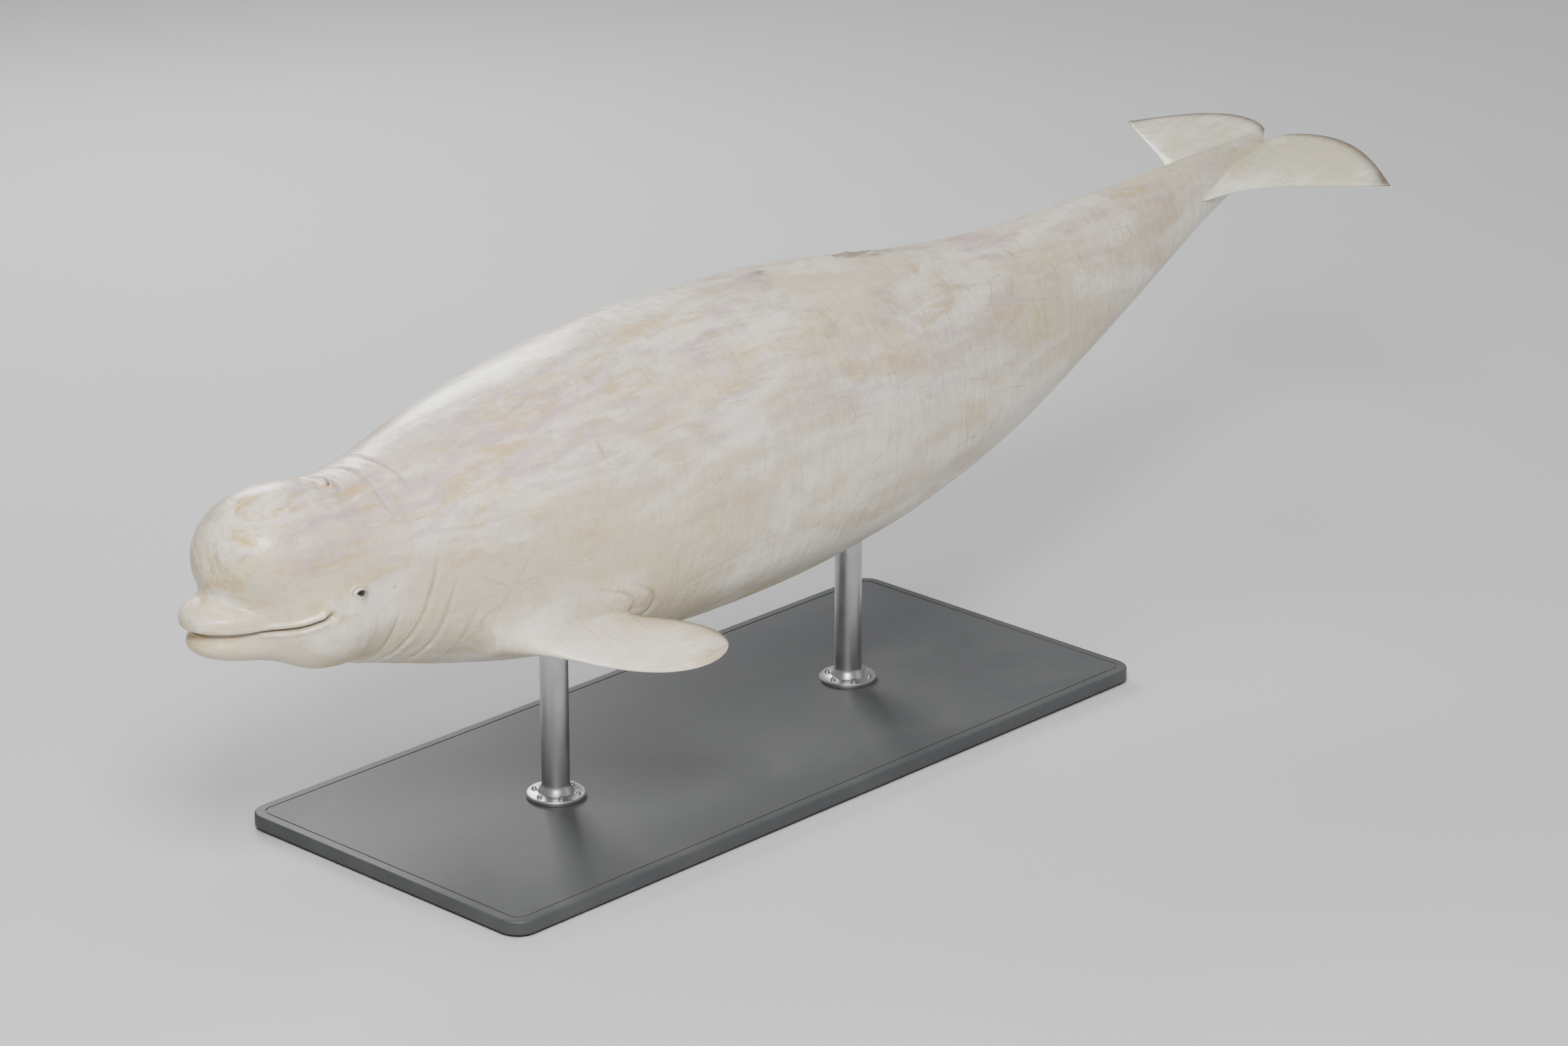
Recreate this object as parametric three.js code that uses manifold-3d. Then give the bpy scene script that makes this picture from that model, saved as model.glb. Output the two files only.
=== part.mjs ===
// A beluga whale at life size, gliding level with its flippers spread and its tail stock lifted,
// held by two short rods on a flat display base. Millimetres, +Z up. The head points along -X and
// the whale's left side faces -Y. The origin is the centre of the base's underside.
//
// The whale is first shaped straight, in body space: x runs from the snout tip to the fluke notch,
// y to the whale's right, and z up from the body's axis. bend() then gives each point its pose.
import * as THREE from "three";
import { mergeVertices } from "three/addons/utils/BufferGeometryUtils.js";
import Module from "manifold-3d";

const wasm = await Module();
wasm.setup();

// Driving sizes
const LENGTH = 4200; // snout tip to fluke notch
const AXIS_HEIGHT = 900; // body axis above the floor
const TAIL_RISE = 340; // how far the flukes are lifted above the axis
const TAIL_RISE_FROM = 0.6 * LENGTH;
const NOSE_SLOPE = 0.09; // how steeply the head points up
const NECK_BEND = { from: 0.19 * LENGTH, to: 0.1 * LENGTH };
const BASE = { length: 2400, width: 1040, thick: 45, corner: 60, cornerSteps: 5, chamfer: 6 };
const BASE_MIDDLE = 0.425 * LENGTH; // along the body, under its centre of mass
const ROD = { radius: 38, foot: 80, footHeight: 34, edge: 5, collar: 8, fillet: 3, sides: 24 };
const ROD_PLACES = { front: 0.29 * LENGTH, rear: 0.56 * LENGTH };
const GAP = 0.3; // between touching pieces

const part = (share) => share * LENGTH;
const mix = (a, b, t) => a + (b - a) * t;
const clamp01 = (t) => Math.min(1, Math.max(0, t));
const smooth = (t) => clamp01(t) ** 2 * (3 - 2 * clamp01(t));
const bell = (t) => Math.exp(-t * t);

// Pose: the spine's height along the body, and its slope
function spine(x) {
  const t = clamp01((x - TAIL_RISE_FROM) / (LENGTH - TAIL_RISE_FROM));
  const beyond = Math.max(0, x - LENGTH);
  const tailSlope = TAIL_RISE / (LENGTH - TAIL_RISE_FROM);
  const bent = NECK_BEND.from - NECK_BEND.to;
  const n = clamp01((NECK_BEND.from - x) / bent);
  const ahead = Math.max(0, NECK_BEND.to - x);
  return {
    height:
      TAIL_RISE * t * t * (2 - t) + beyond * tailSlope + NOSE_SLOPE * ((bent * n * n) / 2 + ahead),
    slope: tailSlope * t * (4 - 3 * t) - NOSE_SLOPE * n,
  };
}

// A point of body space in the part's frame
function bend([x, y, z]) {
  const { height, slope } = spine(x);
  const upright = 1 / Math.hypot(1, slope);
  return [x - BASE_MIDDLE - z * slope * upright, y, AXIS_HEIGHT + height + z * upright];
}

// The trunk's outline, as shares of the length: top and bottom heights and half width
const TRUNK = [
  { at: 0.1, top: 0.052, bottom: -0.059, half: 0.05 },
  { at: 0.135, top: 0.0575, bottom: -0.066, half: 0.0565 },
  { at: 0.17, top: 0.067, bottom: -0.076, half: 0.0655 },
  { at: 0.22, top: 0.08, bottom: -0.088, half: 0.0765 },
  { at: 0.3, top: 0.094, bottom: -0.099, half: 0.0885 },
  { at: 0.4, top: 0.1, bottom: -0.103, half: 0.0935 },
  { at: 0.5, top: 0.0965, bottom: -0.097, half: 0.0895 },
  { at: 0.6, top: 0.085, bottom: -0.08, half: 0.0765 },
  { at: 0.7, top: 0.0685, bottom: -0.0585, half: 0.056 },
  { at: 0.8, top: 0.05, bottom: -0.0405, half: 0.036 },
  { at: 0.87, top: 0.0345, bottom: -0.028, half: 0.0235 },
  { at: 0.93, top: 0.021, bottom: -0.0175, half: 0.0155 },
  { at: 0.965, top: 0.0135, bottom: -0.0115, half: 0.013 },
];
const CRANIUM_FRONT = part(0.035);
const STOCK_END = part(0.992);
const WIDEST_HEIGHT = part(-0.004); // the trunk is widest just below its axis
const SQUARENESS = 2.15; // 2 would be an ellipse

// A natural cubic spline through the outline's values
function splineThrough(key) {
  const xs = TRUNK.map((s) => part(s.at));
  const ys = TRUNK.map((s) => part(s[key]));
  const n = xs.length;
  const curve = new Array(n).fill(0);
  const factor = new Array(n).fill(0);
  for (let i = 1; i < n - 1; i++) {
    const before = xs[i] - xs[i - 1];
    const after = xs[i + 1] - xs[i];
    const turn = (ys[i + 1] - ys[i]) / after - (ys[i] - ys[i - 1]) / before;
    const pivot = 2 * (before + after) - before * factor[i - 1];
    factor[i] = after / pivot;
    curve[i] = (6 * turn - before * curve[i - 1]) / pivot;
  }
  for (let i = n - 2; i > 0; i--) curve[i] -= factor[i] * curve[i + 1];
  return (x) => {
    const c = Math.min(xs[n - 1], Math.max(xs[0], x));
    let i = 0;
    while (i < n - 2 && c > xs[i + 1]) i++;
    const span = xs[i + 1] - xs[i];
    const b = (c - xs[i]) / span;
    const a = 1 - b;
    const bow = ((a ** 3 - a) * curve[i] + (b ** 3 - b) * curve[i + 1]) * (span * span) / 6;
    return a * ys[i] + b * ys[i + 1] + bow;
  };
}
const topAt = splineThrough("top");
const bottomAt = splineThrough("bottom");
const halfAt = splineThrough("half");

// The low ridge along the middle of the back, which a beluga has in place of a dorsal fin
const RIDGE = {
  from: part(0.44),
  to: part(0.63),
  height: 21,
  spread: 34,
  swell: 0.7,
  bumps: 9,
  bumpDepth: 0.22,
};
function ridgeRise(x, y) {
  const t = (x - RIDGE.from) / (RIDGE.to - RIDGE.from);
  if (t <= 0 || t >= 1) return 0;
  const swell = Math.sin(Math.PI * t) ** RIDGE.swell;
  const bumps = 1 - RIDGE.bumpDepth * (0.5 + 0.5 * Math.cos(2 * Math.PI * RIDGE.bumps * t));
  return RIDGE.height * swell * bumps * bell(y / RIDGE.spread);
}

// Fields: under 0 inside, over 0 outside, near a distance close to the surface
function trunkField(x, y, z) {
  const front = part(TRUNK[0].at);
  const back = part(TRUNK.at(-1).at);
  const past =
    x < front ? (front - x) / (front - CRANIUM_FRONT) : Math.max(0, (x - back) / (STOCK_END - back));
  const up = z - WIDEST_HEIGHT;
  const tall = up > 0 ? topAt(x) - WIDEST_HEIGHT + ridgeRise(x, y) : WIDEST_HEIGHT - bottomAt(x);
  const half = halfAt(x);
  const section =
    ((Math.abs(y) / half) ** SQUARENESS + (Math.abs(up) / tall) ** SQUARENESS) ** (1 / SQUARENESS);
  return (Math.hypot(section, past) - 1) * Math.min(half, tall);
}

const AT_CENTRE = 1e-12;
function ellipsoidField({ centre, radii }, x, y, z) {
  const d = [x - centre[0], y - centre[1], z - centre[2]];
  const near = Math.hypot(...d.map((v, i) => v / radii[i]));
  const far = Math.hypot(...d.map((v, i) => v / radii[i] ** 2));
  return far < AT_CENTRE ? -Math.min(...radii) : (near * (near - 1)) / far;
}

function smoothMin(a, b, reach) {
  const h = Math.max(reach - Math.abs(a - b), 0) / reach;
  return Math.min(a, b) - (h * h * reach) / 4;
}

const HEAD_PIECES = [
  { name: "melon", centre: [0.06, 0, 0.0145], radii: [0.047, 0.042, 0.0395], reach: 0.016 },
  { name: "beak", centre: [0.041, 0, -0.0165], radii: [0.041, 0.0285, 0.0125], reach: 0.006 },
  { name: "jaw", centre: [0.049, 0, -0.0325], radii: [0.044, 0.0275, 0.0135], reach: 0.005 },
  { name: "right cheek", centre: [0.079, 0.025, -0.022], radii: [0.034, 0.024, 0.026], reach: 0.02 },
  { name: "left cheek", centre: [0.079, -0.025, -0.022], radii: [0.034, 0.024, 0.026], reach: 0.02 },
].map((p) => ({
  ...p,
  centre: p.centre.map(part),
  radii: p.radii.map(part),
  reach: part(p.reach),
}));

function bodyField(x, y, z) {
  let value = trunkField(x, y, z);
  for (const piece of HEAD_PIECES) {
    value = smoothMin(value, ellipsoidField(piece, x, y, z), piece.reach);
  }
  return value;
}

// How far the skin is from a point on the axis, along a direction
const FARTHEST = part(0.16);
const HALVINGS = 34;
function skinDistance(from, direction) {
  let inside = 0;
  let outside = FARTHEST;
  for (let i = 0; i < HALVINGS; i++) {
    const r = (inside + outside) / 2;
    const at = from.map((v, k) => v + direction[k] * r);
    if (bodyField(...at) < 0) inside = r;
    else outside = r;
  }
  return (inside + outside) / 2;
}

// A closed geometry through rings of points, each a full turn. A ring of one point is a pole.
function loftGeometry(rings) {
  const points = rings.flat();
  const starts = [];
  let count = 0;
  for (const ring of rings) {
    starts.push(count);
    count += ring.length;
  }
  const index = [];
  for (let r = 0; r + 1 < rings.length; r++) {
    const [a, b] = [rings[r], rings[r + 1]];
    const turns = Math.max(a.length, b.length);
    for (let i = 0; i < turns; i++) {
      const j = (i + 1) % turns;
      const [ai, aj] = a.length === 1 ? [0, 0] : [i, j];
      const [bi, bj] = b.length === 1 ? [0, 0] : [i, j];
      if (a.length > 1) index.push(starts[r] + ai, starts[r + 1] + bi, starts[r] + aj);
      if (b.length > 1) index.push(starts[r] + aj, starts[r + 1] + bi, starts[r + 1] + bj);
    }
  }
  const geometry = new THREE.BufferGeometry();
  geometry.setAttribute("position", new THREE.Float32BufferAttribute(points.flat(), 3));
  return geometry.setIndex(index);
}

const middleOf = (ring) => [0, 1, 2].map((k) => ring.reduce((sum, p) => sum + p[k], 0) / ring.length);

// Solids
const WELD = 1e-3; // corners nearer than this are one
function solidOf(geometry) {
  const bare = geometry.clone();
  bare.deleteAttribute("normal");
  bare.deleteAttribute("uv");
  const merged = mergeVertices(bare, WELD);
  const solid = new wasm.Manifold(
    new wasm.Mesh({
      numProp: 3,
      vertProperties: new Float32Array(merged.attributes.position.array),
      triVerts: new Uint32Array(merged.index.array),
    }),
  );
  if (solid.volume() > 0) return solid;
  const flipped = merged.index.array.slice().reverse();
  return new wasm.Manifold(
    new wasm.Mesh({
      numProp: 3,
      vertProperties: new Float32Array(merged.attributes.position.array),
      triVerts: new Uint32Array(flipped),
    }),
  );
}

const union = (solids) => solids.reduce((a, b) => a.add(b));
const cutAll = (solid, tools) => tools.reduce((a, b) => a.subtract(b), solid);
const largest = (solid) => solid.decompose().sort((a, b) => b.volume() - a.volume())[0];

// A solid's surface as a geometry, each vertex moved by a function of its place
function geometryOf(solid, move) {
  const mesh = solid.getMesh();
  const positions = [];
  for (let i = 0; i < mesh.numVert; i++) {
    const start = i * mesh.numProp;
    positions.push(...move([...mesh.vertProperties.subarray(start, start + 3)]));
  }
  const geometry = new THREE.BufferGeometry();
  geometry.setAttribute("position", new THREE.Float32BufferAttribute(positions, 3));
  geometry.setIndex(Array.from(mesh.triVerts));
  return geometry;
}

// The trunk in lengths: rings square to the axis, closer on top where the ridge is
const axisHeightAt = (x) => (topAt(x) + bottomAt(x)) / 2;
function turnAngles(sides, crowding) {
  return Array.from({ length: sides }, (_, i) => {
    const t = (2 * i) / sides - 1;
    return Math.PI / 2 + Math.PI * Math.sign(t) * Math.abs(t) ** crowding;
  });
}

function bodyRing(x, angles, inset = 0) {
  const from = [x, 0, axisHeightAt(x)];
  return angles.map((angle) => {
    const direction = [0, Math.cos(angle), Math.sin(angle)];
    const r = skinDistance(from, direction) - inset;
    return from.map((v, k) => v + direction[k] * r);
  });
}

function bodyLength({ from, to, rings, sides, crowding }, inset = 0) {
  const angles = turnAngles(sides, crowding);
  const loops = Array.from({ length: rings + 1 }, (_, i) =>
    bodyRing(mix(from, to, i / rings), angles, inset),
  );
  return [[middleOf(loops[0])], ...loops, [middleOf(loops.at(-1))]];
}

// The head: rays fan out from one centre in front, and stay square to the axis behind it
const HEAD_CENTRE = part(0.088);
const HEAD_END = part(0.118);
const HEAD_SIDES = 46;
const HEAD_FAN_RINGS = 20;
const HEAD_FAN_CROWDING = 1.15; // over 1 sets the rings closer at the snout
const HEAD_BACK_RINGS = 3;
function headRings(inset = 0) {
  const angles = turnAngles(HEAD_SIDES, 1);
  const from = [HEAD_CENTRE, 0, axisHeightAt(HEAD_CENTRE)];
  const fan = Array.from({ length: HEAD_FAN_RINGS }, (_, i) => {
    const lean = (Math.PI / 2) * (i / HEAD_FAN_RINGS) ** HEAD_FAN_CROWDING;
    const ring = (i === 0 ? [0] : angles).map((angle) => {
      const direction = [-Math.cos(lean), Math.sin(lean) * Math.cos(angle), Math.sin(lean) * Math.sin(angle)];
      const r = skinDistance(from, direction) - inset;
      return from.map((v, k) => v + direction[k] * r);
    });
    return ring;
  });
  const back = Array.from({ length: HEAD_BACK_RINGS + 1 }, (_, i) =>
    bodyRing(mix(HEAD_CENTRE, HEAD_END, i / HEAD_BACK_RINGS), angles, inset),
  );
  return [...fan, ...back, [middleOf(back.at(-1))]];
}

// Mouth: a line that rises to its corner, cut as a slit between two lips
const MOUTH = {
  tip: part(-0.0235),
  corner: part(0.066),
  upturn: part(0.011),
  slit: 5,
  closing: part(0.02), // over which the slit narrows to its corner
  narrowest: 0.1, // of the slit's width
  depth: 15,
};
const MOUTH_START = part(-0.02); // clear of the snout
const mouthHeight = (x) => MOUTH.tip + MOUTH.upturn * clamp01(x / MOUTH.corner) ** 3;
const MOUTH_STEPS = 16;

// A band along the mouth line in side view, right across the head
function mouthBand(lowEdge, highEdge, behind = []) {
  const xs = Array.from({ length: MOUTH_STEPS + 1 }, (_, i) =>
    mix(MOUTH_START, MOUTH.corner, i / MOUTH_STEPS),
  );
  const low = xs.map((x) => [x, mouthHeight(x) + lowEdge(x)]);
  const high = xs.map((x) => [x, mouthHeight(x) + highEdge(x)]).reverse();
  const outline = [...low, ...behind, ...high].map(([x, z]) => new THREE.Vector2(x, z));
  const settings = { depth: FARTHEST, bevelEnabled: false };
  const geometry = new THREE.ExtrudeGeometry(new THREE.Shape(outline), settings);
  return solidOf(geometry.rotateX(Math.PI / 2).translate(0, FARTHEST / 2, 0));
}

function mouthSlit(core) {
  const open = (x) =>
    (MOUTH.slit / 2) * Math.sqrt(clamp01((MOUTH.corner - x) / MOUTH.closing) + MOUTH.narrowest ** 2);
  return mouthBand((x) => -open(x), open).subtract(core);
}

// The thin cut that parts the lower jaw from the head: along the mouth, then down the throat
const THROAT = [part(0.104), part(-0.075)];
function jawCut() {
  const half = GAP / 2;
  const down = [
    [THROAT[0] - half, THROAT[1]],
    [THROAT[0] + half, THROAT[1]],
  ];
  return mouthBand(() => -half, () => half, down);
}

// A tapered roll that follows a line of points on the skin
const ROLL_SIDES = 6;
function rollSolid(points, radiusAt) {
  const curve = new THREE.CatmullRomCurve3(points.map((p) => new THREE.Vector3(...p)));
  const steps = points.length - 1;
  const frames = curve.computeFrenetFrames(steps, false);
  const rings = points.map((_, i) => {
    const t = i / steps;
    const centre = curve.getPoint(t);
    return Array.from({ length: ROLL_SIDES }, (_, k) => {
      const angle = (2 * Math.PI * k) / ROLL_SIDES;
      const arm = frames.normals[i].clone().multiplyScalar(Math.cos(angle));
      arm.addScaledVector(frames.binormals[i], Math.sin(angle));
      return centre.clone().addScaledVector(arm, radiusAt(t)).toArray();
    });
  });
  return solidOf(loftGeometry([[middleOf(rings[0])], ...rings, [middleOf(rings.at(-1))]]));
}

// A point of the skin at a height and a place along the head, on one side
function skinPoint(x, z, side, inset = 0) {
  let inner = 0;
  let outer = FARTHEST;
  for (let i = 0; i < HALVINGS; i++) {
    const y = (inner + outer) / 2;
    if (bodyField(x, side * y, z) < 0) inner = y;
    else outer = y;
  }
  return [x, side * ((inner + outer) / 2 - inset), z];
}

// Lips: one roll above and one below the mouth line, round the front of the snout
const LIP = {
  radius: 9,
  offset: 11,
  sunk: 5,
  spread: part(0.034), // from the middle to the corners of the mouth
  steps: 22,
  fade: 0.14,
  thinnest: 0.1,
};
function lipSolid(above) {
  const cornerAngle = Math.atan2(LIP.spread, HEAD_CENTRE - MOUTH.corner);
  const points = Array.from({ length: LIP.steps + 1 }, (_, i) => {
    const angle = mix(-cornerAngle, cornerAngle, i / LIP.steps);
    let inner = 0;
    let outer = FARTHEST;
    const at = (r) => {
      const x = HEAD_CENTRE - Math.cos(angle) * r;
      return [x, Math.sin(angle) * r, mouthHeight(x) + above * LIP.offset];
    };
    for (let k = 0; k < HALVINGS; k++) {
      const r = (inner + outer) / 2;
      if (bodyField(...at(r)) < 0) inner = r;
      else outer = r;
    }
    return at((inner + outer) / 2 - LIP.sunk);
  });
  const taper = (t) =>
    LIP.radius * Math.sqrt(mix(LIP.thinnest, 1, clamp01(Math.min(t, 1 - t) / LIP.fade)));
  return rollSolid(points, taper);
}

// Eyes: small balls deep in the head, each behind the mouth's corner, with two lids
const EYE = { at: part(0.0865), height: part(-0.0025), radius: 19, sunk: 11 };
const LID = { reach: 20, tall: 13, radius: 6.5, corner: 0.45, sunk: 2, steps: 10, hood: 1.3 };
const eyeCentre = (side) => skinPoint(EYE.at, EYE.height, side, EYE.sunk);
const EYE_RINGS = 8;
function eyeSolid(side, grown = 0) {
  const ball = new THREE.SphereGeometry(EYE.radius + grown, 2 * EYE_RINGS, EYE_RINGS);
  return solidOf(ball.translate(...eyeCentre(side)));
}

function lidSolid(side, above) {
  const points = Array.from({ length: LID.steps + 1 }, (_, i) => {
    const angle = (Math.PI * i) / LID.steps;
    const x = EYE.at - Math.cos(angle) * LID.reach;
    const z = EYE.height + above * Math.sin(angle) * LID.tall;
    return skinPoint(x, z, side, LID.sunk);
  });
  const heavier = above > 0 ? LID.hood : 1;
  return rollSolid(points, (t) => LID.radius * heavier * mix(LID.corner, 1, Math.sin(Math.PI * t)));
}

// Ear: a pinhole behind the eye
const EAR = { at: part(0.113), height: part(-0.003), radius: 3, depth: 14, sides: 10 };
function earSolid(side) {
  const pin = new THREE.CylinderGeometry(EAR.radius, EAR.radius / 2, 2 * EAR.depth, EAR.sides);
  const [x, y, z] = skinPoint(EAR.at, EAR.height, side);
  return solidOf(pin.rotateX((side * Math.PI) / 2).translate(x, y, z));
}

// Blowhole: a crescent slit on top of the head, a little left of the middle, with a raised rim
const BLOWHOLE = {
  at: part(0.0965),
  across: 42,
  bow: 18,
  off: -8,
  slit: 3.5,
  ends: 0.05, // of the slit's width, left at its ends
  depth: 24,
  rim: 8,
  rimEnds: 0.4, // of the rim's radius
  steps: 14,
};
function blowholeLine(inset) {
  return Array.from({ length: BLOWHOLE.steps + 1 }, (_, i) => {
    const t = (2 * i) / BLOWHOLE.steps - 1;
    const x = BLOWHOLE.at + BLOWHOLE.bow * (0.5 - t * t);
    const y = BLOWHOLE.off + BLOWHOLE.across * t;
    const r = skinDistance([x, y, 0], [0, 0, 1]);
    return [x, y, r - inset];
  });
}

function blowholeSlit() {
  const line = blowholeLine(0);
  const edge = (shift) =>
    line.map(([x, y], i) => {
      const t = (2 * i) / BLOWHOLE.steps - 1;
      return new THREE.Vector2(x + shift * (1 + BLOWHOLE.ends - t * t), y);
    });
  const outline = new THREE.Shape([...edge(-BLOWHOLE.slit), ...edge(BLOWHOLE.slit).reverse()]);
  const slot = new THREE.ExtrudeGeometry(outline, { depth: 3 * BLOWHOLE.depth, bevelEnabled: false });
  const floor = Math.min(...line.map((p) => p[2])) - BLOWHOLE.depth;
  return solidOf(slot.translate(0, 0, floor));
}

// Flippers: broad rounded paddles, spread out, swept back and drooping a little
const FLIPPER = {
  shoulder: [part(0.205), part(0.047), part(-0.05)],
  span: part(0.136),
  sweep: THREE.MathUtils.degToRad(46),
  droop: THREE.MathUtils.degToRad(13),
  pitch: THREE.MathUtils.degToRad(9),
  rootHalf: part(0.0235),
  broadHalf: part(0.0335),
  broadAt: 0.6,
  setBack: part(0.012),
  tipRoundness: 2.3,
  rootThick: 36,
  tipThick: 6,
  thinning: 0.75,
  fullness: { middle: 0.74, front: 0.3 }, // thickest ahead of its middle
  curl: 34,
  flare: 24,
  flareFade: 42,
};
const FLIPPER_RINGS = 17;
const FLIPPER_RING_CROWDING = 1.1;
const FLIPPER_SIDES = 22;

function flipperHalfChord(u) {
  if (u < FLIPPER.broadAt) {
    return mix(FLIPPER.rootHalf, FLIPPER.broadHalf, smooth(u / FLIPPER.broadAt));
  }
  const t = (u - FLIPPER.broadAt) / (1 - FLIPPER.broadAt);
  return FLIPPER.broadHalf * Math.sqrt(Math.max(0, 1 - t ** FLIPPER.tipRoundness));
}

function flipperFrame(side) {
  const { sweep, droop, pitch } = FLIPPER;
  const out = new THREE.Vector3(
    Math.sin(sweep) * Math.cos(droop),
    side * Math.cos(sweep) * Math.cos(droop),
    -Math.sin(droop),
  );
  const forward = new THREE.Vector3(-Math.cos(sweep), side * Math.sin(sweep), 0);
  forward.applyAxisAngle(out, -side * pitch);
  const up = new THREE.Vector3().crossVectors(forward, out).multiplyScalar(-side).normalize();
  return { out, forward, up };
}

function flipperSolid(side) {
  const { out, forward, up } = flipperFrame(side);
  const [sx, sy, sz] = FLIPPER.shoulder;
  const shoulder = new THREE.Vector3(sx, side * sy, sz);
  const skinAt = skinDistance(shoulder.toArray(), out.toArray());
  const place = (along, chord, high) =>
    shoulder
      .clone()
      .addScaledVector(out, along)
      .addScaledVector(forward, chord)
      .addScaledVector(up, high)
      .toArray();
  const rings = Array.from({ length: FLIPPER_RINGS }, (_, i) => {
    const u = Math.sin((Math.PI / 2) * (i / FLIPPER_RINGS)) ** FLIPPER_RING_CROWDING;
    const along = u * FLIPPER.span;
    const flare = FLIPPER.flare * Math.exp(-Math.max(0, along - skinAt) / FLIPPER.flareFade);
    const half = flipperHalfChord(u) + flare;
    const thick = mix(FLIPPER.rootThick, FLIPPER.tipThick, u ** FLIPPER.thinning) + flare;
    const lift = FLIPPER.curl * u ** 3;
    return Array.from({ length: FLIPPER_SIDES }, (_, k) => {
      const angle = (2 * Math.PI * k) / FLIPPER_SIDES;
      const fullness = FLIPPER.fullness.middle + FLIPPER.fullness.front * Math.cos(angle);
      const chord = half * Math.cos(angle) - FLIPPER.setBack * u * u;
      return place(along, chord, lift + thick * fullness * Math.sin(angle));
    });
  });
  const tip = place(FLIPPER.span, -FLIPPER.setBack, FLIPPER.curl);
  return solidOf(loftGeometry([[middleOf(rings[0])], ...rings, [tip]]));
}

// Flukes: two swept blades with a bowed rear edge and a notch between them
const FLUKE = {
  halfSpan: part(0.118),
  rootFront: part(0.922),
  frontCurve: 1.4,
  tip: part(0.981),
  rear: part(0.996),
  bow: part(0.022),
  bowCurve: 0.8,
  notch: { depth: 34, width: 30 },
  rootThick: part(0.0075),
  tipThick: 4.5,
  thinning: 0.7,
  fullness: { middle: 0.72, rear: -0.3 }, // thickest ahead of its middle
  height: part(0.002),
  flare: 26,
  flareFade: 55,
  droop: 25,
};
const FLUKE_RINGS = 17;
const FLUKE_SIDES = 22;
const STOCK_CUT = part(0.912);

function flukeSolid(side) {
  const ringAt = (u) => {
    const y = u * FLUKE.halfSpan;
    const front = mix(FLUKE.rootFront, FLUKE.tip, u ** FLUKE.frontCurve);
    const straight = mix(FLUKE.rear, FLUKE.tip, u ** 2);
    const notch = FLUKE.notch.depth * bell(y / FLUKE.notch.width);
    const back = straight + FLUKE.bow * Math.sin(Math.PI * u ** FLUKE.bowCurve) - notch;
    const flare = FLUKE.flare * Math.exp(-y / FLUKE.flareFade);
    const half = (back - front) / 2 + flare / 2;
    const middle = (back + front) / 2 - flare / 2;
    const thick = mix(FLUKE.rootThick, FLUKE.tipThick, u ** FLUKE.thinning) + flare / 2;
    const lift = FLUKE.height - FLUKE.droop * u ** 2;
    return Array.from({ length: FLUKE_SIDES }, (_, k) => {
      const angle = (2 * Math.PI * k) / FLUKE_SIDES;
      const fullness = FLUKE.fullness.middle + FLUKE.fullness.rear * Math.cos(angle);
      return [middle + half * Math.cos(angle), side * y, lift + thick * fullness * Math.sin(angle)];
    });
  };
  const rings = Array.from({ length: FLUKE_RINGS }, (_, i) =>
    ringAt(Math.sin((Math.PI / 2) * (i / FLUKE_RINGS))),
  );
  const tip = [FLUKE.tip, side * FLUKE.halfSpan, FLUKE.height - FLUKE.droop];
  return solidOf(loftGeometry([[middleOf(rings[0])], ...rings, [tip]]));
}

// The parts of the body, shaped straight
function headParts() {
  const sides = [-1, 1];
  const core = solidOf(loftGeometry(headRings(MOUTH.depth)));
  const added = [
    lipSolid(1),
    lipSolid(-1),
    rollSolid(blowholeLine(BLOWHOLE.rim * BLOWHOLE.rimEnds), (t) =>
      BLOWHOLE.rim * mix(BLOWHOLE.rimEnds, 1, Math.sin(Math.PI * t)),
    ),
    ...sides.flatMap((side) => [lidSolid(side, 1), lidSolid(side, -1)]),
  ];
  const taken = [
    blowholeSlit(),
    mouthSlit(core),
    ...sides.flatMap((side) => [eyeSolid(side, GAP), earSolid(side)]),
    jawCut(),
  ];
  const whole = cutAll(union([solidOf(loftGeometry(headRings())), ...added]), taken);
  const [head, jaw] = whole.decompose().sort((a, b) => b.volume() - a.volume());
  return { head, lower_jaw: jaw };
}

const NECK_END = part(0.168);
const TORSO_END = part(0.66);
const LENGTHS = {
  neck: { from: HEAD_END + GAP, to: NECK_END, rings: 7, sides: 46, crowding: 1 },
  torso: { from: NECK_END + GAP, to: TORSO_END, rings: 22, sides: 44, crowding: 1.25 },
  stock: { from: TORSO_END + GAP, to: STOCK_CUT, rings: 14, sides: 40, crowding: 1.15 },
  flukeRoot: { from: STOCK_CUT + GAP, to: part(0.989), rings: 10, sides: 32, crowding: 1 },
};
const lengthSolid = (name, grown = 0) => solidOf(loftGeometry(bodyLength(LENGTHS[name], -grown)));

function flukeParts() {
  const whole = union([lengthSolid("flukeRoot"), flukeSolid(-1), flukeSolid(1)]);
  const split = new THREE.BoxGeometry(LENGTH / 2, GAP, LENGTH / 2).translate(LENGTH, 0, 0);
  const halves = whole.subtract(solidOf(split)).decompose();
  const [left, right] = halves
    .sort((a, b) => b.volume() - a.volume())
    .slice(0, 2)
    .sort((a, b) => a.boundingBox().min[1] - b.boundingBox().min[1]);
  return { fluke_left: left, fluke_right: right };
}

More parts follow.
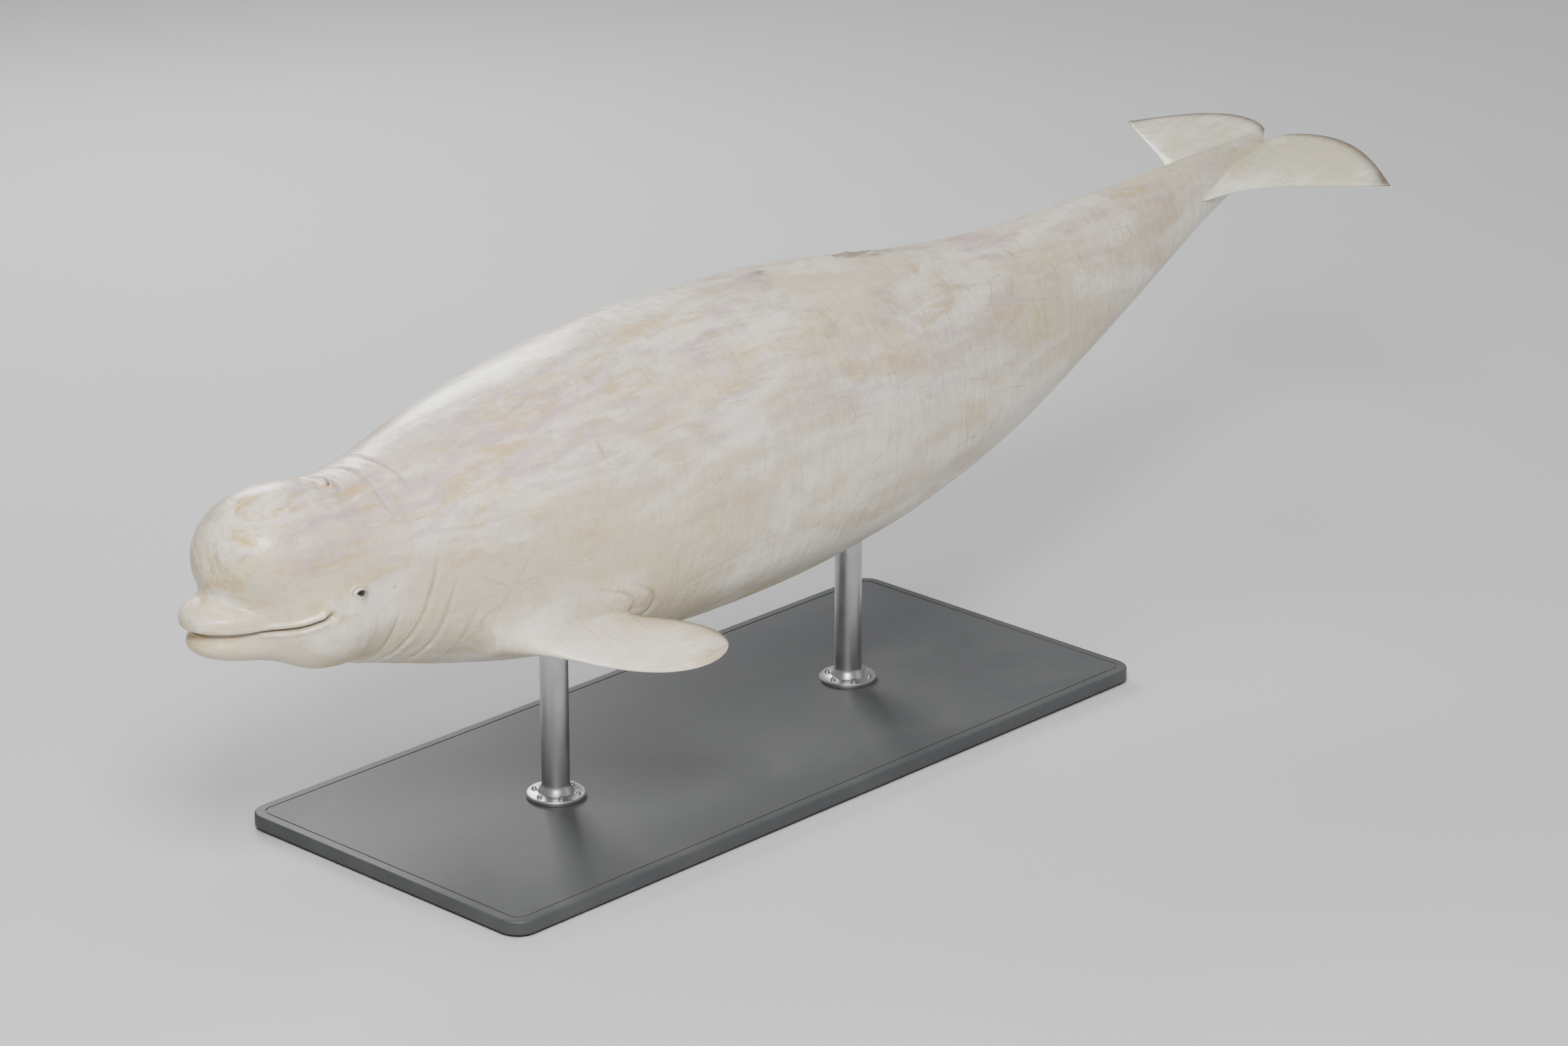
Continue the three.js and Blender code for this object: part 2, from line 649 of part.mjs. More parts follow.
// The display stand, already in the part's frame
function baseGeometry() {
  const { length, width, thick, corner, chamfer } = BASE;
  const [x, y] = [length / 2 - chamfer, width / 2 - chamfer];
  const shape = new THREE.Shape();
  shape.moveTo(-x + corner, -y);
  shape.lineTo(x - corner, -y);
  shape.absarc(x - corner, -y + corner, corner, -Math.PI / 2, 0);
  shape.lineTo(x, y - corner);
  shape.absarc(x - corner, y - corner, corner, 0, Math.PI / 2);
  shape.lineTo(-x + corner, y);
  shape.absarc(-x + corner, y - corner, corner, Math.PI / 2, Math.PI);
  shape.lineTo(-x, -y + corner);
  shape.absarc(-x + corner, -y + corner, corner, Math.PI, 1.5 * Math.PI);
  const geometry = new THREE.ExtrudeGeometry(shape, {
    depth: thick - 2 * chamfer,
    bevelThickness: chamfer,
    bevelSize: chamfer,
    bevelSegments: 1,
    curveSegments: BASE.cornerSteps,
  });
  return geometry.translate(0, 0, chamfer);
}

// A rod with a turned foot, its top end cut to the belly it carries
function rodGeometry(place, body) {
  const { radius, foot, footHeight, edge, collar, fillet, sides } = ROD;
  const profile = [
    [0, 0],
    [foot, 0],
    [foot, footHeight * 0.35],
    [foot - edge, footHeight * 0.5],
    [radius + collar, footHeight * 0.62],
    [radius + fillet, footHeight * 0.8],
    [radius, footHeight],
    [radius, AXIS_HEIGHT],
    [0, AXIS_HEIGHT],
  ].map(([r, z]) => new THREE.Vector2(r, z));
  const turned = new THREE.LatheGeometry(profile, sides).rotateX(Math.PI / 2);
  const rod = solidOf(turned.translate(place - BASE_MIDDLE, 0, BASE.thick + GAP));
  const clear = body.translate(0, 0, -GAP);
  const pieces = rod.subtract(clear).decompose();
  const lowest = pieces.sort((a, b) => a.boundingBox().min[2] - b.boundingBox().min[2])[0];
  return geometryOf(lowest, (p) => p);
}

// The whole model
const skin = new THREE.MeshStandardMaterial({ color: 0xe9e6dc, roughness: 0.42, metalness: 0 });
const eyeGloss = new THREE.MeshStandardMaterial({ color: 0x1c1714, roughness: 0.12, metalness: 0 });
const basePaint = new THREE.MeshStandardMaterial({ color: 0x3c3f43, roughness: 0.55, metalness: 0 });
const rodSteel = new THREE.MeshStandardMaterial({ color: 0xb9bcc0, roughness: 0.3, metalness: 1 });

const whale = new THREE.Group();
function addMesh(name, geometry, material) {
  geometry.computeVertexNormals();
  const mesh = new THREE.Mesh(geometry, material.clone());
  mesh.name = name;
  whale.add(mesh);
}

const torso = lengthSolid("torso");
const flank = lengthSolid("torso", GAP);
const flesh = {
  ...headParts(),
  neck: lengthSolid("neck"),
  torso,
  flipper_left: flipperSolid(-1).subtract(flank),
  flipper_right: flipperSolid(1).subtract(flank),
  tail_stock: lengthSolid("stock"),
  ...flukeParts(),
};
for (const [name, solid] of Object.entries(flesh)) {
  addMesh(name, geometryOf(largest(solid), bend), skin);
}
addMesh("eye_left", geometryOf(eyeSolid(-1), bend), eyeGloss);
addMesh("eye_right", geometryOf(eyeSolid(1), bend), eyeGloss);

const bentTorso = solidOf(geometryOf(torso, bend));
addMesh("stand_base", baseGeometry(), basePaint);
addMesh("stand_rod_front", rodGeometry(ROD_PLACES.front, bentTorso), rodSteel);
addMesh("stand_rod_rear", rodGeometry(ROD_PLACES.rear, bentTorso), rodSteel);

export default whale;
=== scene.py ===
"""A life-size beluga whale, gliding level with its tail lifted, on a plain museum stand.

The whale's skin is one piece. It is shaped straight, in body space, from the same sizes as the solids:
x runs from the snout tip to the fluke notch, y to the whale's right, and z up from the body's axis.
A spine then bends it into its pose. All sizes are metres.
"""

import logging
import math
from collections.abc import Callable, Sequence
from dataclasses import dataclass, field
from enum import Enum

import bmesh
import bpy
import numpy as np
from bpy.types import ID, Material, Node, NodeSocket, NodeTree, Object
from mathutils import Matrix, Vector


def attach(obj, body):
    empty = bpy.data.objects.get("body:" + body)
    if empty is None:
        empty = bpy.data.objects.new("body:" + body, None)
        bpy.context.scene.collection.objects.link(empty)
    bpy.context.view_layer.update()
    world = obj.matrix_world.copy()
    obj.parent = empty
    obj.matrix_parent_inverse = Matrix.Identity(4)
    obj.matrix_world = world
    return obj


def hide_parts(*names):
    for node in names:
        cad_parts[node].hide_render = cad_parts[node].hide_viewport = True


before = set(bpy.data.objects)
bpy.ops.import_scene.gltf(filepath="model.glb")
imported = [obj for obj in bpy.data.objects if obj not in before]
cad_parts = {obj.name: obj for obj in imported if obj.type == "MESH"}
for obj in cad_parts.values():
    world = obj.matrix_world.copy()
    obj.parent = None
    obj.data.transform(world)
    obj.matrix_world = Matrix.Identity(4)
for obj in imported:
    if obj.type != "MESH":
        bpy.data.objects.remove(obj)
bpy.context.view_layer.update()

log = logging.getLogger("beluga")

LENGTH = 4.2  # snout tip to fluke notch
AXIS_HEIGHT = 0.9  # the body's axis above the floor
BODY_MIDDLE = 0.425 * LENGTH  # the place along the body that stands over the origin

THINNEST = 1e-3  # the least half width that a fin's section is taken to have
ELSEWHERE = 9.0  # stands for a distance or share where a fin doesn't reach
NOWHERE = 1.0  # the mesh spacing of a detail that asks for nothing

Array = np.ndarray
Field = Callable[[Array], Array]
Triple = tuple[float, float, float]
Rgb = Triple


class Side(Enum):
    """The whale's two sides, by the sign of y."""

    LEFT = -1
    RIGHT = 1


def part(share: float) -> float:
    """A share of the whale's length, in metres."""
    return share * LENGTH


def smooth(t: Array) -> Array:
    """An easing curve from 0 to 1, level at both ends."""
    c = np.clip(t, 0.0, 1.0)
    return c * c * (3.0 - 2.0 * c)


def bell(t: Array) -> Array:
    """A round bump, 1 at its middle and near 0 two units out."""
    return np.exp(-t * t)


def smooth_min(a: Array, b: Array, reach: float) -> Array:
    """The lower of two fields, rounded where they are closer than reach."""
    h = np.maximum(reach - np.abs(a - b), 0.0) / reach
    return np.minimum(a, b) - h * h * reach / 4.0


def smooth_max(a: Array, b: Array, reach: float) -> Array:
    """The higher of two fields, rounded where they are closer than reach."""
    return -smooth_min(-a, -b, reach)


def scaled_distance(near: Array, far: Array, least: Array | float) -> Array:
    """How far a point is outside an ellipse, from its lengths in radii and in their squares."""
    return np.where(far < 1e-9, -least, near * (near - 1.0) / np.maximum(far, 1e-9))


def ellipse_field(across: Array, high: Array, half: Array, tall: Array) -> Array:
    """How far a point is outside an ellipse, near its edge, from half of its width and of its height."""
    near, far = np.hypot(across / half, high / tall), np.hypot(across / half**2, high / tall**2)
    return scaled_distance(near, far, tall)


class NaturalSpline:
    """A natural cubic through a few values, held level past both ends."""

    def __init__(self, xs: Sequence[float], ys: Sequence[float]) -> None:
        """Fits the curve.

        Args:
            xs: The rising places.
            ys: The value at each place.
        """
        self.xs = np.array(xs, float)
        self.ys = np.array(ys, float)
        steps = np.diff(self.xs)
        slopes = np.diff(self.ys) / steps
        count = len(self.xs)
        system = np.eye(count)
        turn = np.zeros(count)
        for i in range(1, count - 1):
            system[i, i - 1 : i + 2] = steps[i - 1], 2.0 * (steps[i - 1] + steps[i]), steps[i]
            turn[i] = 6.0 * (slopes[i] - slopes[i - 1])
        self.curve = np.linalg.solve(system, turn)

    def __call__(self, x: Array) -> Array:
        """The curve's value at each x.

        Args:
            x: Where to read the curve.

        Returns:
            The height at each place.
        """
        c = np.clip(x, self.xs[0], self.xs[-1])
        i = np.clip(np.searchsorted(self.xs, c, side="right") - 1, 0, len(self.xs) - 2)
        span = self.xs[i + 1] - self.xs[i]
        b = (c - self.xs[i]) / span
        a = 1.0 - b
        bow = ((a**3 - a) * self.curve[i] + (b**3 - b) * self.curve[i + 1]) * span**2 / 6.0
        return a * self.ys[i] + b * self.ys[i + 1] + bow


@dataclass(frozen=True)
class Spine:
    """The pose: the tail stock curves up to the flukes and the head points a little up."""

    tail_rise: float = 0.34
    tail_from: float = part(0.6)
    nose_slope: float = 0.09
    neck_from: float = part(0.19)
    neck_to: float = part(0.1)
    shrink: float = 0.998  # keeps the lips and the fluke tips inside the solids' box
    shrink_about: Triple = (1.665, 0.0, 0.9)

    def bend(self, points: Array) -> Array:
        """Poses points of body space.

        Args:
            points: Rows of x, y and z in body space.

        Returns:
            The same points in the part's frame.
        """
        x, y, z = points.T
        t = np.clip((x - self.tail_from) / (LENGTH - self.tail_from), 0.0, 1.0)
        beyond = np.maximum(0.0, x - LENGTH)
        tail_slope = self.tail_rise / (LENGTH - self.tail_from)
        bent = self.neck_from - self.neck_to
        n = np.clip((self.neck_from - x) / bent, 0.0, 1.0)
        ahead = np.maximum(0.0, self.neck_to - x)
        height = self.tail_rise * t * t * (2.0 - t) + beyond * tail_slope
        height += self.nose_slope * (bent * n * n / 2.0 + ahead)
        slope = tail_slope * t * (4.0 - 3.0 * t) - self.nose_slope * n
        upright = 1.0 / np.hypot(1.0, slope)
        over = AXIS_HEIGHT + height + z * upright
        posed = np.stack([x - BODY_MIDDLE - z * slope * upright, y, over], axis=1)
        about = np.array(self.shrink_about)
        return about + (posed - about) * self.shrink


@dataclass(frozen=True)
class Ridge:
    """The low, notched ridge along the middle of the back."""

    start: float = part(0.44)
    end: float = part(0.63)
    height: float = 0.0195
    spread: float = 0.032
    bumps: float = 9.0
    bump_depth: float = 0.3

    def rise(self, x: Array, y: Array) -> Array:
        """How far the ridge stands above the back at each place.

        Args:
            x: Places along the body.
            y: Places across it.

        Returns:
            The height added at each place.
        """
        t = np.clip((x - self.start) / (self.end - self.start), 0.0, 1.0)
        swell = np.sin(np.pi * t) ** 0.7
        bumps = 1.0 - self.bump_depth * (0.5 + 0.5 * np.cos(2.0 * np.pi * self.bumps * t))
        return self.height * swell * bumps * bell(y / self.spread)


@dataclass(frozen=True)
class Station:
    """One section of the trunk, in shares of the length: top and bottom heights, and half width."""

    at: float
    top: float
    bottom: float
    half: float


@dataclass
class Trunk:
    """The body from the skull to the flukes, without the face and fins."""

    stations: tuple[Station, ...] = (
        Station(0.1, 0.052, -0.059, 0.05),
        Station(0.135, 0.0575, -0.066, 0.0565),
        Station(0.17, 0.067, -0.076, 0.0655),
        Station(0.22, 0.08, -0.088, 0.0765),
        Station(0.3, 0.094, -0.099, 0.0885),
        Station(0.4, 0.1, -0.103, 0.0935),
        Station(0.5, 0.0965, -0.097, 0.0895),
        Station(0.6, 0.085, -0.08, 0.0765),
        Station(0.7, 0.0685, -0.0585, 0.056),
        Station(0.8, 0.05, -0.0405, 0.036),
        Station(0.87, 0.0345, -0.028, 0.0235),
        Station(0.93, 0.021, -0.0175, 0.0155),
        Station(0.965, 0.0135, -0.0115, 0.013),
    )
    front_end: float = part(0.035)
    rear_end: float = part(0.992)
    widest_height: float = part(-0.004)
    squareness: float = 2.15
    ridge: Ridge = field(default_factory=Ridge)

    def __post_init__(self) -> None:
        """Runs curves through the stations."""
        xs = [part(s.at) for s in self.stations]
        self.top = NaturalSpline(xs, [part(s.top) for s in self.stations])
        self.bottom = NaturalSpline(xs, [part(s.bottom) for s in self.stations])
        self.half = NaturalSpline(xs, [part(s.half) for s in self.stations])

    def axis(self, x: Array) -> Array:
        """The height half way between back and belly."""
        return (self.top(x) + self.bottom(x)) / 2.0

    def inner_point(self, x: float, y: float = 0.0) -> Array:
        """A point half way between back and belly."""
        return np.array([x, y, float(self.axis(np.array(x)))])

    def distance(self, points: Array) -> Array:
        """How far each point is outside the trunk, near its surface.

        Args:
            points: Rows of x, y and z.

        Returns:
            A distance for each, under 0 inside.
        """
        x, y, z = points.T
        first, last = part(self.stations[0].at), part(self.stations[-1].at)
        ahead = np.maximum(0.0, (first - x) / (first - self.front_end))
        behind = np.maximum(0.0, (x - last) / (self.rear_end - last))
        up = z - self.widest_height
        over = self.top(x) - self.widest_height + self.ridge.rise(x, y)
        tall = np.where(up > 0.0, over, self.widest_height - self.bottom(x))
        half = self.half(x)
        power = self.squareness
        section = ((np.abs(y) / half) ** power + (np.abs(up) / tall) ** power) ** (1.0 / power)
        return (np.hypot(section, ahead + behind) - 1.0) * np.minimum(half, tall)


@dataclass(frozen=True)
class Lobe:
    """An ellipsoid that swells the face, in shares of the length."""

    name: str
    centre: Triple
    radii: Triple
    reach: float

    def distance(self, points: Array) -> Array:
        """How far each point is outside the lobe, near its surface.

        Args:
            points: Rows of x, y and z.

        Returns:
            A distance for each, under 0 inside.
        """
        centre, radii = np.array(self.centre) * LENGTH, np.array(self.radii) * LENGTH
        d = points - centre
        near, far = (np.linalg.norm(d / size, axis=1) for size in (radii, radii**2))
        return scaled_distance(near, far, radii.min())


@dataclass
class Torso:
    """The trunk with the lobes of the face blended in."""

    trunk: Trunk = field(default_factory=Trunk)
    lobes: tuple[Lobe, ...] = (
        Lobe("melon", (0.06, 0.0, 0.0145), (0.047, 0.042, 0.0395), 0.016),
        Lobe("beak", (0.041, 0.0, -0.0165), (0.041, 0.0285, 0.0125), 0.006),
        Lobe("jaw", (0.049, 0.0, -0.0325), (0.044, 0.0275, 0.0135), 0.005),
        Lobe("right cheek", (0.079, 0.025, -0.022), (0.034, 0.024, 0.026), 0.02),
        Lobe("left cheek", (0.079, -0.025, -0.022), (0.034, 0.024, 0.026), 0.02),
    )
    face_end: float = part(0.15)  # past every lobe
    fan_centre: float = part(0.088)
    fan_rings: int = 30
    sides: int = 72
    ring_spacing: float = 0.034

    def distance(self, points: Array) -> Array:
        """How far each point is outside the body, near its surface.

        Args:
            points: Rows of x, y and z.

        Returns:
            A distance for each, under 0 inside.
        """
        value = self.trunk.distance(points)
        face = points[:, 0] < self.face_end
        for lobe in self.lobes:
            value[face] = smooth_min(value[face], lobe.distance(points[face]), part(lobe.reach))
        return value

    def rings(self) -> list[Array]:
        """Rings of points on the surface, from the snout's pole to the last one under the flukes.

        Returns:
            Arrays of points, from the pole at the snout back.
        """
        angles = np.linspace(0.0, 2.0 * np.pi, self.sides, endpoint=False)
        turned = np.stack([np.zeros_like(angles), np.cos(angles), np.sin(angles)], axis=1)
        centre = self.trunk.inner_point(self.fan_centre)
        forward = np.array([-1.0, 0.0, 0.0])
        found = [cast_rays(self.distance, centre, forward[None])]
        for i in range(1, self.fan_rings):
            lean = np.pi / 2.0 * i / self.fan_rings
            rays = math.cos(lean) * forward + math.sin(lean) * turned
            found.append(cast_rays(self.distance, centre, rays))
        last = self.trunk.rear_end - 0.008
        count = round((last - self.fan_centre) / self.ring_spacing)
        for x in np.linspace(self.fan_centre, last, count):
            found.append(cast_rays(self.distance, self.trunk.inner_point(x), turned))
        return found


def cast_rays(distance: Field, start: Array, directions: Array) -> Array:
    """Where rays from a point inside a form first leave it.

    Args:
        distance: The form's field.
        start: Where the rays start, inside.
        directions: Each ray's direction.

    Returns:
        The points on the form's surface.
    """
    inside = np.zeros(len(directions))
    outside = np.full(len(directions), part(0.16))
    for _ in range(30):
        middle = (inside + outside) / 2.0
        within = distance(start + directions * middle[:, None]) < 0.0
        inside = np.where(within, middle, inside)
        outside = np.where(within, outside, middle)
    return start + directions * ((inside + outside) / 2.0)[:, None]


@dataclass(kw_only=True)
class Fin:
    """A blade on one side of the body: what the flippers and the flukes share."""

    side: Side
    span: float
    crowding: float = 1.0  # over 1 sets the rings closer together near the root
    rings_along: int = 34
    sides: int = 44
    edge_from: float = 0.0  # how far out the finer mesh of its edges starts
    shade_from: float = 0.0  # how far out its dark rear edge starts
    edge_shade: float
    edge_width: float
    tip_shade: float
    tip_from: float = 0.82  # the share of the span past which the tip darkens
    keep_from: float = 0.94  # the share of the span past which its loft is kept as it is

    def place(self, points: Array) -> tuple[Array, ...]:
        """How far out, ahead and over the blade's middle points are, and half its width and thickness."""
        raise NotImplementedError

    def fullness(self, ahead: Array, half: Array, out: Array) -> Array:
        """The share of the section's thickness that the blade has at places ahead of its middle."""
        raise NotImplementedError

    def ring(self, out: float) -> Array:
        """The blade's outline at one distance from its root."""
        raise NotImplementedError

    def end_point(self) -> Array:
        """The tip of the blade."""
        raise NotImplementedError

    def rings(self) -> list[Array]:
        """Rings from the root out, and the tip as the last."""
        shares = [math.sin(math.pi / 2.0 * i / self.rings_along) for i in range(self.rings_along)]
        return [self.ring(u**self.crowding * self.span) for u in shares] + [self.end_point()[None]]

    def distance(self, points: Array) -> Array:
        """How far each point is outside the blade, near its surface.

        Args:
            points: Rows of x, y and z.

        Returns:
            A distance for each, under 0 inside.
        """
        out, ahead, over, half, thick = self.place(points)
        half = np.maximum(half, THINNEST)
        value = ellipse_field(ahead, over, half, thick * self.fullness(ahead, half, out))
        return np.maximum(value, np.maximum(-out, out - self.span))

    def edge_share(self, points: Array) -> Array:
        """How far each point is towards the front or rear edge, 1 at the edge; large off the blade.

        Args:
            points: Rows of x, y and z.

        Returns:
            The share at each point.
        """
        out, ahead, _, half, _ = self.place(points)
        share = np.abs(ahead) / np.maximum(half, THINNEST)
        return np.where((out > self.edge_from) & (out < 1.1 * self.span), share, ELSEWHERE)

    def rear_edge(self, points: Array) -> Array:
        """How near each point is to the dark rear edge and tip, from 0 to 1.

        Args:
            points: Rows of x, y and z.

        Returns:
            The nearness of each point.
        """
        out, ahead, _, half, _ = self.place(points)
        tip = self.tip_shade * smooth((out / self.span - self.tip_from) / 0.18)
        shade = self.edge_shade * bell((half + ahead) / self.edge_width) + tip
        return np.clip(shade * (out > self.shade_from), 0.0, 1.0)

    def tip_share(self, points: Array) -> Array:
        """1 at the very tip of the blade, and 0 up to a little before it."""
        return smooth((self.place(points)[0] / self.span - self.keep_from) / 0.04)


@dataclass(kw_only=True)
class Flipper(Fin):
    """A broad rounded paddle, swept back and drooping a little."""

    torso: Torso
    shoulder: Triple = (part(0.205), part(0.047), part(-0.05))
    span: float = part(0.136)
    crowding: float = 1.1
    edge_shade: float = 0.9
    edge_width: float = 0.02
    tip_shade: float = 0.35
    sweep: float = math.radians(46.0)
    droop: float = math.radians(13.0)
    pitch: float = math.radians(9.0)
    root_half: float = part(0.0235)
    broad_half: float = part(0.0335)
    broad_at: float = 0.6
    set_back: float = part(0.012)
    root_thick: float = 0.036
    tip_thick: float = 0.006
    full: float = 0.74
    fuller_ahead: float = 0.3
    curl: float = 0.034
    flare: float = 0.009
    flare_fade: float = 0.05

    def __post_init__(self) -> None:
        """Sets the paddle's own axes and finds where it leaves the flank."""
        s = self.side.value
        self.root = np.array([self.shoulder[0], s * self.shoulder[1], self.shoulder[2]])
        level = math.cos(self.droop)
        self.out = np.array(
            [math.sin(self.sweep) * level, s * math.cos(self.sweep) * level, -math.sin(self.droop)]
        )
        forward = Vector((-math.cos(self.sweep), s * math.sin(self.sweep), 0.0))
        forward.rotate(Matrix.Rotation(-s * self.pitch, 3, Vector(self.out)))
        self.forward = np.array(forward)
        up = -s * np.cross(self.forward, self.out)
        self.up = up / np.linalg.norm(up)
        leaves = cast_rays(self.torso.distance, self.root, self.out[None])
        self.skin_at = float(np.linalg.norm(leaves[0] - self.root))

    def half_chord(self, u: Array) -> Array:
        """Half of the paddle's width at a share of its span.

        Args:
            u: The share of the span, from 0 to 1.

        Returns:
            Half of the width there.
        """
        inner = self.root_half + (self.broad_half - self.root_half) * smooth(u / self.broad_at)
        t = np.clip((u - self.broad_at) / (1.0 - self.broad_at), 0.0, 1.0)
        return np.where(u < self.broad_at, inner, self.broad_half * np.sqrt(1.0 - t**2.3))

    def section(self, along: Array) -> tuple[Array, Array, Array, Array]:
        """The paddle's section at a place along its span.

        Args:
            along: The distance from the shoulder.

        Returns:
            Half of its width, half of its thickness, how far it sits back, and its lift.
        """
        u = np.clip(along / self.span, 0.0, 1.0)
        flare = self.flare * np.exp(-np.maximum(0.0, along - self.skin_at) / self.flare_fade)
        half = self.half_chord(u) + flare
        thick = self.root_thick + (self.tip_thick - self.root_thick) * u**0.75 + flare
        return half, thick, self.set_back * u * u, self.curl * u**3

    def place(self, points: Array) -> tuple[Array, ...]:
        """Where points are on the paddle.

        Args:
            points: Rows of x, y and z.

        Returns:
            How far out, ahead and over its middle they are, and half its width and thickness there.
        """
        d = points - self.root
        out = d @ self.out
        half, thick, back, lift = self.section(out)
        return out, d @ self.forward + back, d @ self.up - lift, half, thick

    def fullness(self, ahead: Array, half: Array, out: Array) -> Array:
        """A rounder front half and a thinner rear one."""
        return self.full + self.fuller_ahead * np.clip(ahead / half, -1.0, 1.0)

    def ring(self, out: float) -> Array:
        """The paddle's outline at one place along its span.

        Args:
            out: The distance from the shoulder.

        Returns:
            The points of the outline.
        """
        half, thick, back, lift = (float(v) for v in self.section(np.array(out)))
        angle = np.linspace(0.0, 2.0 * np.pi, self.sides, endpoint=False)
        chord = half * np.cos(angle) - back
        high = lift + thick * (self.full + self.fuller_ahead * np.cos(angle)) * np.sin(angle)
        return self.root + self.out * out + np.outer(chord, self.forward) + np.outer(high, self.up)

    def end_point(self) -> Array:
        """The tip of the paddle."""
        return self.root + self.out * self.span - self.forward * self.set_back + self.up * self.curl

    def past_skin(self, points: Array) -> Array:
        """How far out along the paddle each point is from where it leaves the flank; large elsewhere."""
        along = (points - self.root) @ self.out
        return np.where(points[:, 1] * self.side.value > 0.0, along - self.skin_at, ELSEWHERE)


@dataclass(kw_only=True)
class Fluke(Fin):
    """One swept blade of the tail, with a bowed rear edge."""

    span: float = part(0.118)
    edge_from: float = -0.01
    shade_from: float = -0.002
    edge_shade: float = 1.1
    edge_width: float = 0.026
    tip_shade: float = 0.4
    root_front: float = part(0.922)
    tip: float = part(0.981)
    rear: float = part(0.996)
    bow: float = part(0.022)
    notch_depth: float = 0.034
    notch_width: float = 0.03
    root_thick: float = part(0.0075)
    tip_thick: float = 0.0045
    full: float = 0.72
    fuller_ahead: float = 0.3
    thin_in_stock: float = 0.3
    height: float = part(0.002)
    flare: float = 0.026
    flare_fade: float = 0.055
    fillet: float = 0.12
    fillet_from: float = 0.078
    fillet_fade: float = 0.05
    droop: float = 0.025

    def sweep_in(self, out: Array) -> Array:
        """How far the front edge runs forward into the tail stock, at a distance from the middle."""
        return self.fillet * np.exp(-np.maximum(0.0, out - self.fillet_from) / self.fillet_fade)

    def fullness(self, ahead: Array, half: Array, out: Array) -> Array:
        """How full the blade's section is: most in its front half, and thin where it runs into the stock.

        Args:
            ahead: The place along the section, forward of its middle.
            half: Half of the section's width.
            out: The section's distance from the middle.

        Returns:
            A share of the section's thickness.
        """
        lean = np.clip(ahead / half, -1.0, 1.0)
        into = smooth((half - ahead) / (1.6 * self.sweep_in(out) + 0.001))
        share = self.thin_in_stock + (1.0 - self.thin_in_stock) * into
        return (self.full + self.fuller_ahead * lean) * share

    def section(self, out: Array) -> tuple[Array, Array, Array, Array]:
        """The blade's section at a distance from the middle.

        Args:
            out: The distance from the tail's middle plane.

        Returns:
            Half of its width, half of its thickness, its middle along the body, and its height.
        """
        y = np.clip(out, 0.0, self.span)
        u = y / self.span
        front = self.root_front + (self.tip - self.root_front) * u**1.4
        front = front - self.sweep_in(y)
        notch = self.notch_depth * bell(y / self.notch_width)
        bow = self.bow * np.sin(np.pi * u**0.8)
        back = self.rear + (self.tip - self.rear) * u * u + bow - notch
        flare = self.flare * np.exp(-y / self.flare_fade)
        half = (back - front) / 2.0 + flare / 2.0
        thick = self.root_thick + (self.tip_thick - self.root_thick) * u**0.7 + flare / 2.0
        return half, thick, (back + front) / 2.0 - flare / 2.0, self.height - self.droop * u * u

    def place(self, points: Array) -> tuple[Array, ...]:
        """Where points are on the blade.

        Args:
            points: Rows of x, y and z.

        Returns:
            How far out, ahead and over its middle they are, and half its width and thickness there.
        """
        out = points[:, 1] * self.side.value
        half, thick, middle, height = self.section(out)
        return out, middle - points[:, 0], points[:, 2] - height, half, thick

    def ring(self, out: float) -> Array:
        """The blade's outline at one distance from the middle.

        Args:
            out: The distance from the tail's middle plane.

        Returns:
            The points of the outline.
        """
        half, thick, middle, height = (float(v) for v in self.section(np.array(out)))
        angle = np.linspace(0.0, 2.0 * np.pi, self.sides, endpoint=False)
        chord = half * np.cos(angle)
        z = height + thick * self.fullness(-chord, np.array(half), np.array(out)) * np.sin(angle)
        return np.stack([middle + chord, np.full(self.sides, self.side.value * out), z], axis=1)

    def end_point(self) -> Array:
        """The tip of the blade."""
        return np.array([self.tip, self.side.value * self.span, self.height - self.droop])


@dataclass
class WhaleForm:
    """The whale's smooth outer form, straight, without its small details."""

    torso: Torso = field(default_factory=Torso)
    flipper_web: float = 0.1
    fluke_web: float = 0.085
    notch_web: float = 0.018

    def __post_init__(self) -> None:
        """Makes the four fins."""
        self.flippers = [Flipper(side=side, torso=self.torso) for side in Side]
        self.flukes = [Fluke(side=side) for side in Side]
        self.fins: list[Fin] = [*self.flippers, *self.flukes]

    def distance(self, points: Array) -> Array:
        """How far each point is outside the whale, near its surface.

        Args:
            points: Rows of x, y and z.

        Returns:
            A distance for each, under 0 inside.
        """
        x = points[:, 0]
        front = (x > part(0.1)) & (x < part(0.42))
        rear = x > part(0.8)
        paddles = np.minimum(*(f.distance(points[front]) for f in self.flippers))
        past = np.minimum(*(f.past_skin(points[front]) for f in self.flippers))
        web = self.flipper_web * (1.0 - 0.9 * smooth((past - 0.02) / 0.13))
        blades = smooth_min(*(f.distance(points[rear]) for f in self.flukes), self.notch_web)
        value = self.torso.distance(points)
        value[front] = smooth_min(value[front], paddles, web)
        value[rear] = smooth_min(value[rear], blades, self.fluke_web)
        return value

    def round_angle(self, points: Array) -> Array:
        """The angle up the flank in degrees: -90 at the belly, 0 at the side and 90 at the back."""
        x, y, z = points.T
        return np.degrees(np.arctan2(z - self.torso.trunk.axis(x), np.abs(y)))

    def skin_point(self, x: float, z: float, side: Side) -> Array:
        """The point of the head's skin at a place along it and a height."""
        out = np.array([[0.0, float(side.value), 0.0]])
        return cast_rays(self.torso.distance, np.array([x, 0.0, z]), out)[0]


def slope_of(distance: Field, points: Array, reach: float = 4e-4) -> tuple[Array, Array]:
    """A field's value and slope at each point.

    Args:
        distance: The field.
        points: The points.
        reach: How far from each point the field is sampled.

    Returns:
        The values, and a row of slopes for each point.
    """
    corners = np.array([[1, -1, -1], [-1, -1, 1], [-1, 1, -1], [1, 1, 1]], float)
    values = [distance(points + corner * reach) for corner in corners]
    slope = sum(np.outer(value, corner) for value, corner in zip(values, corners)) / (4.0 * reach)
    return sum(values) / 4.0, slope


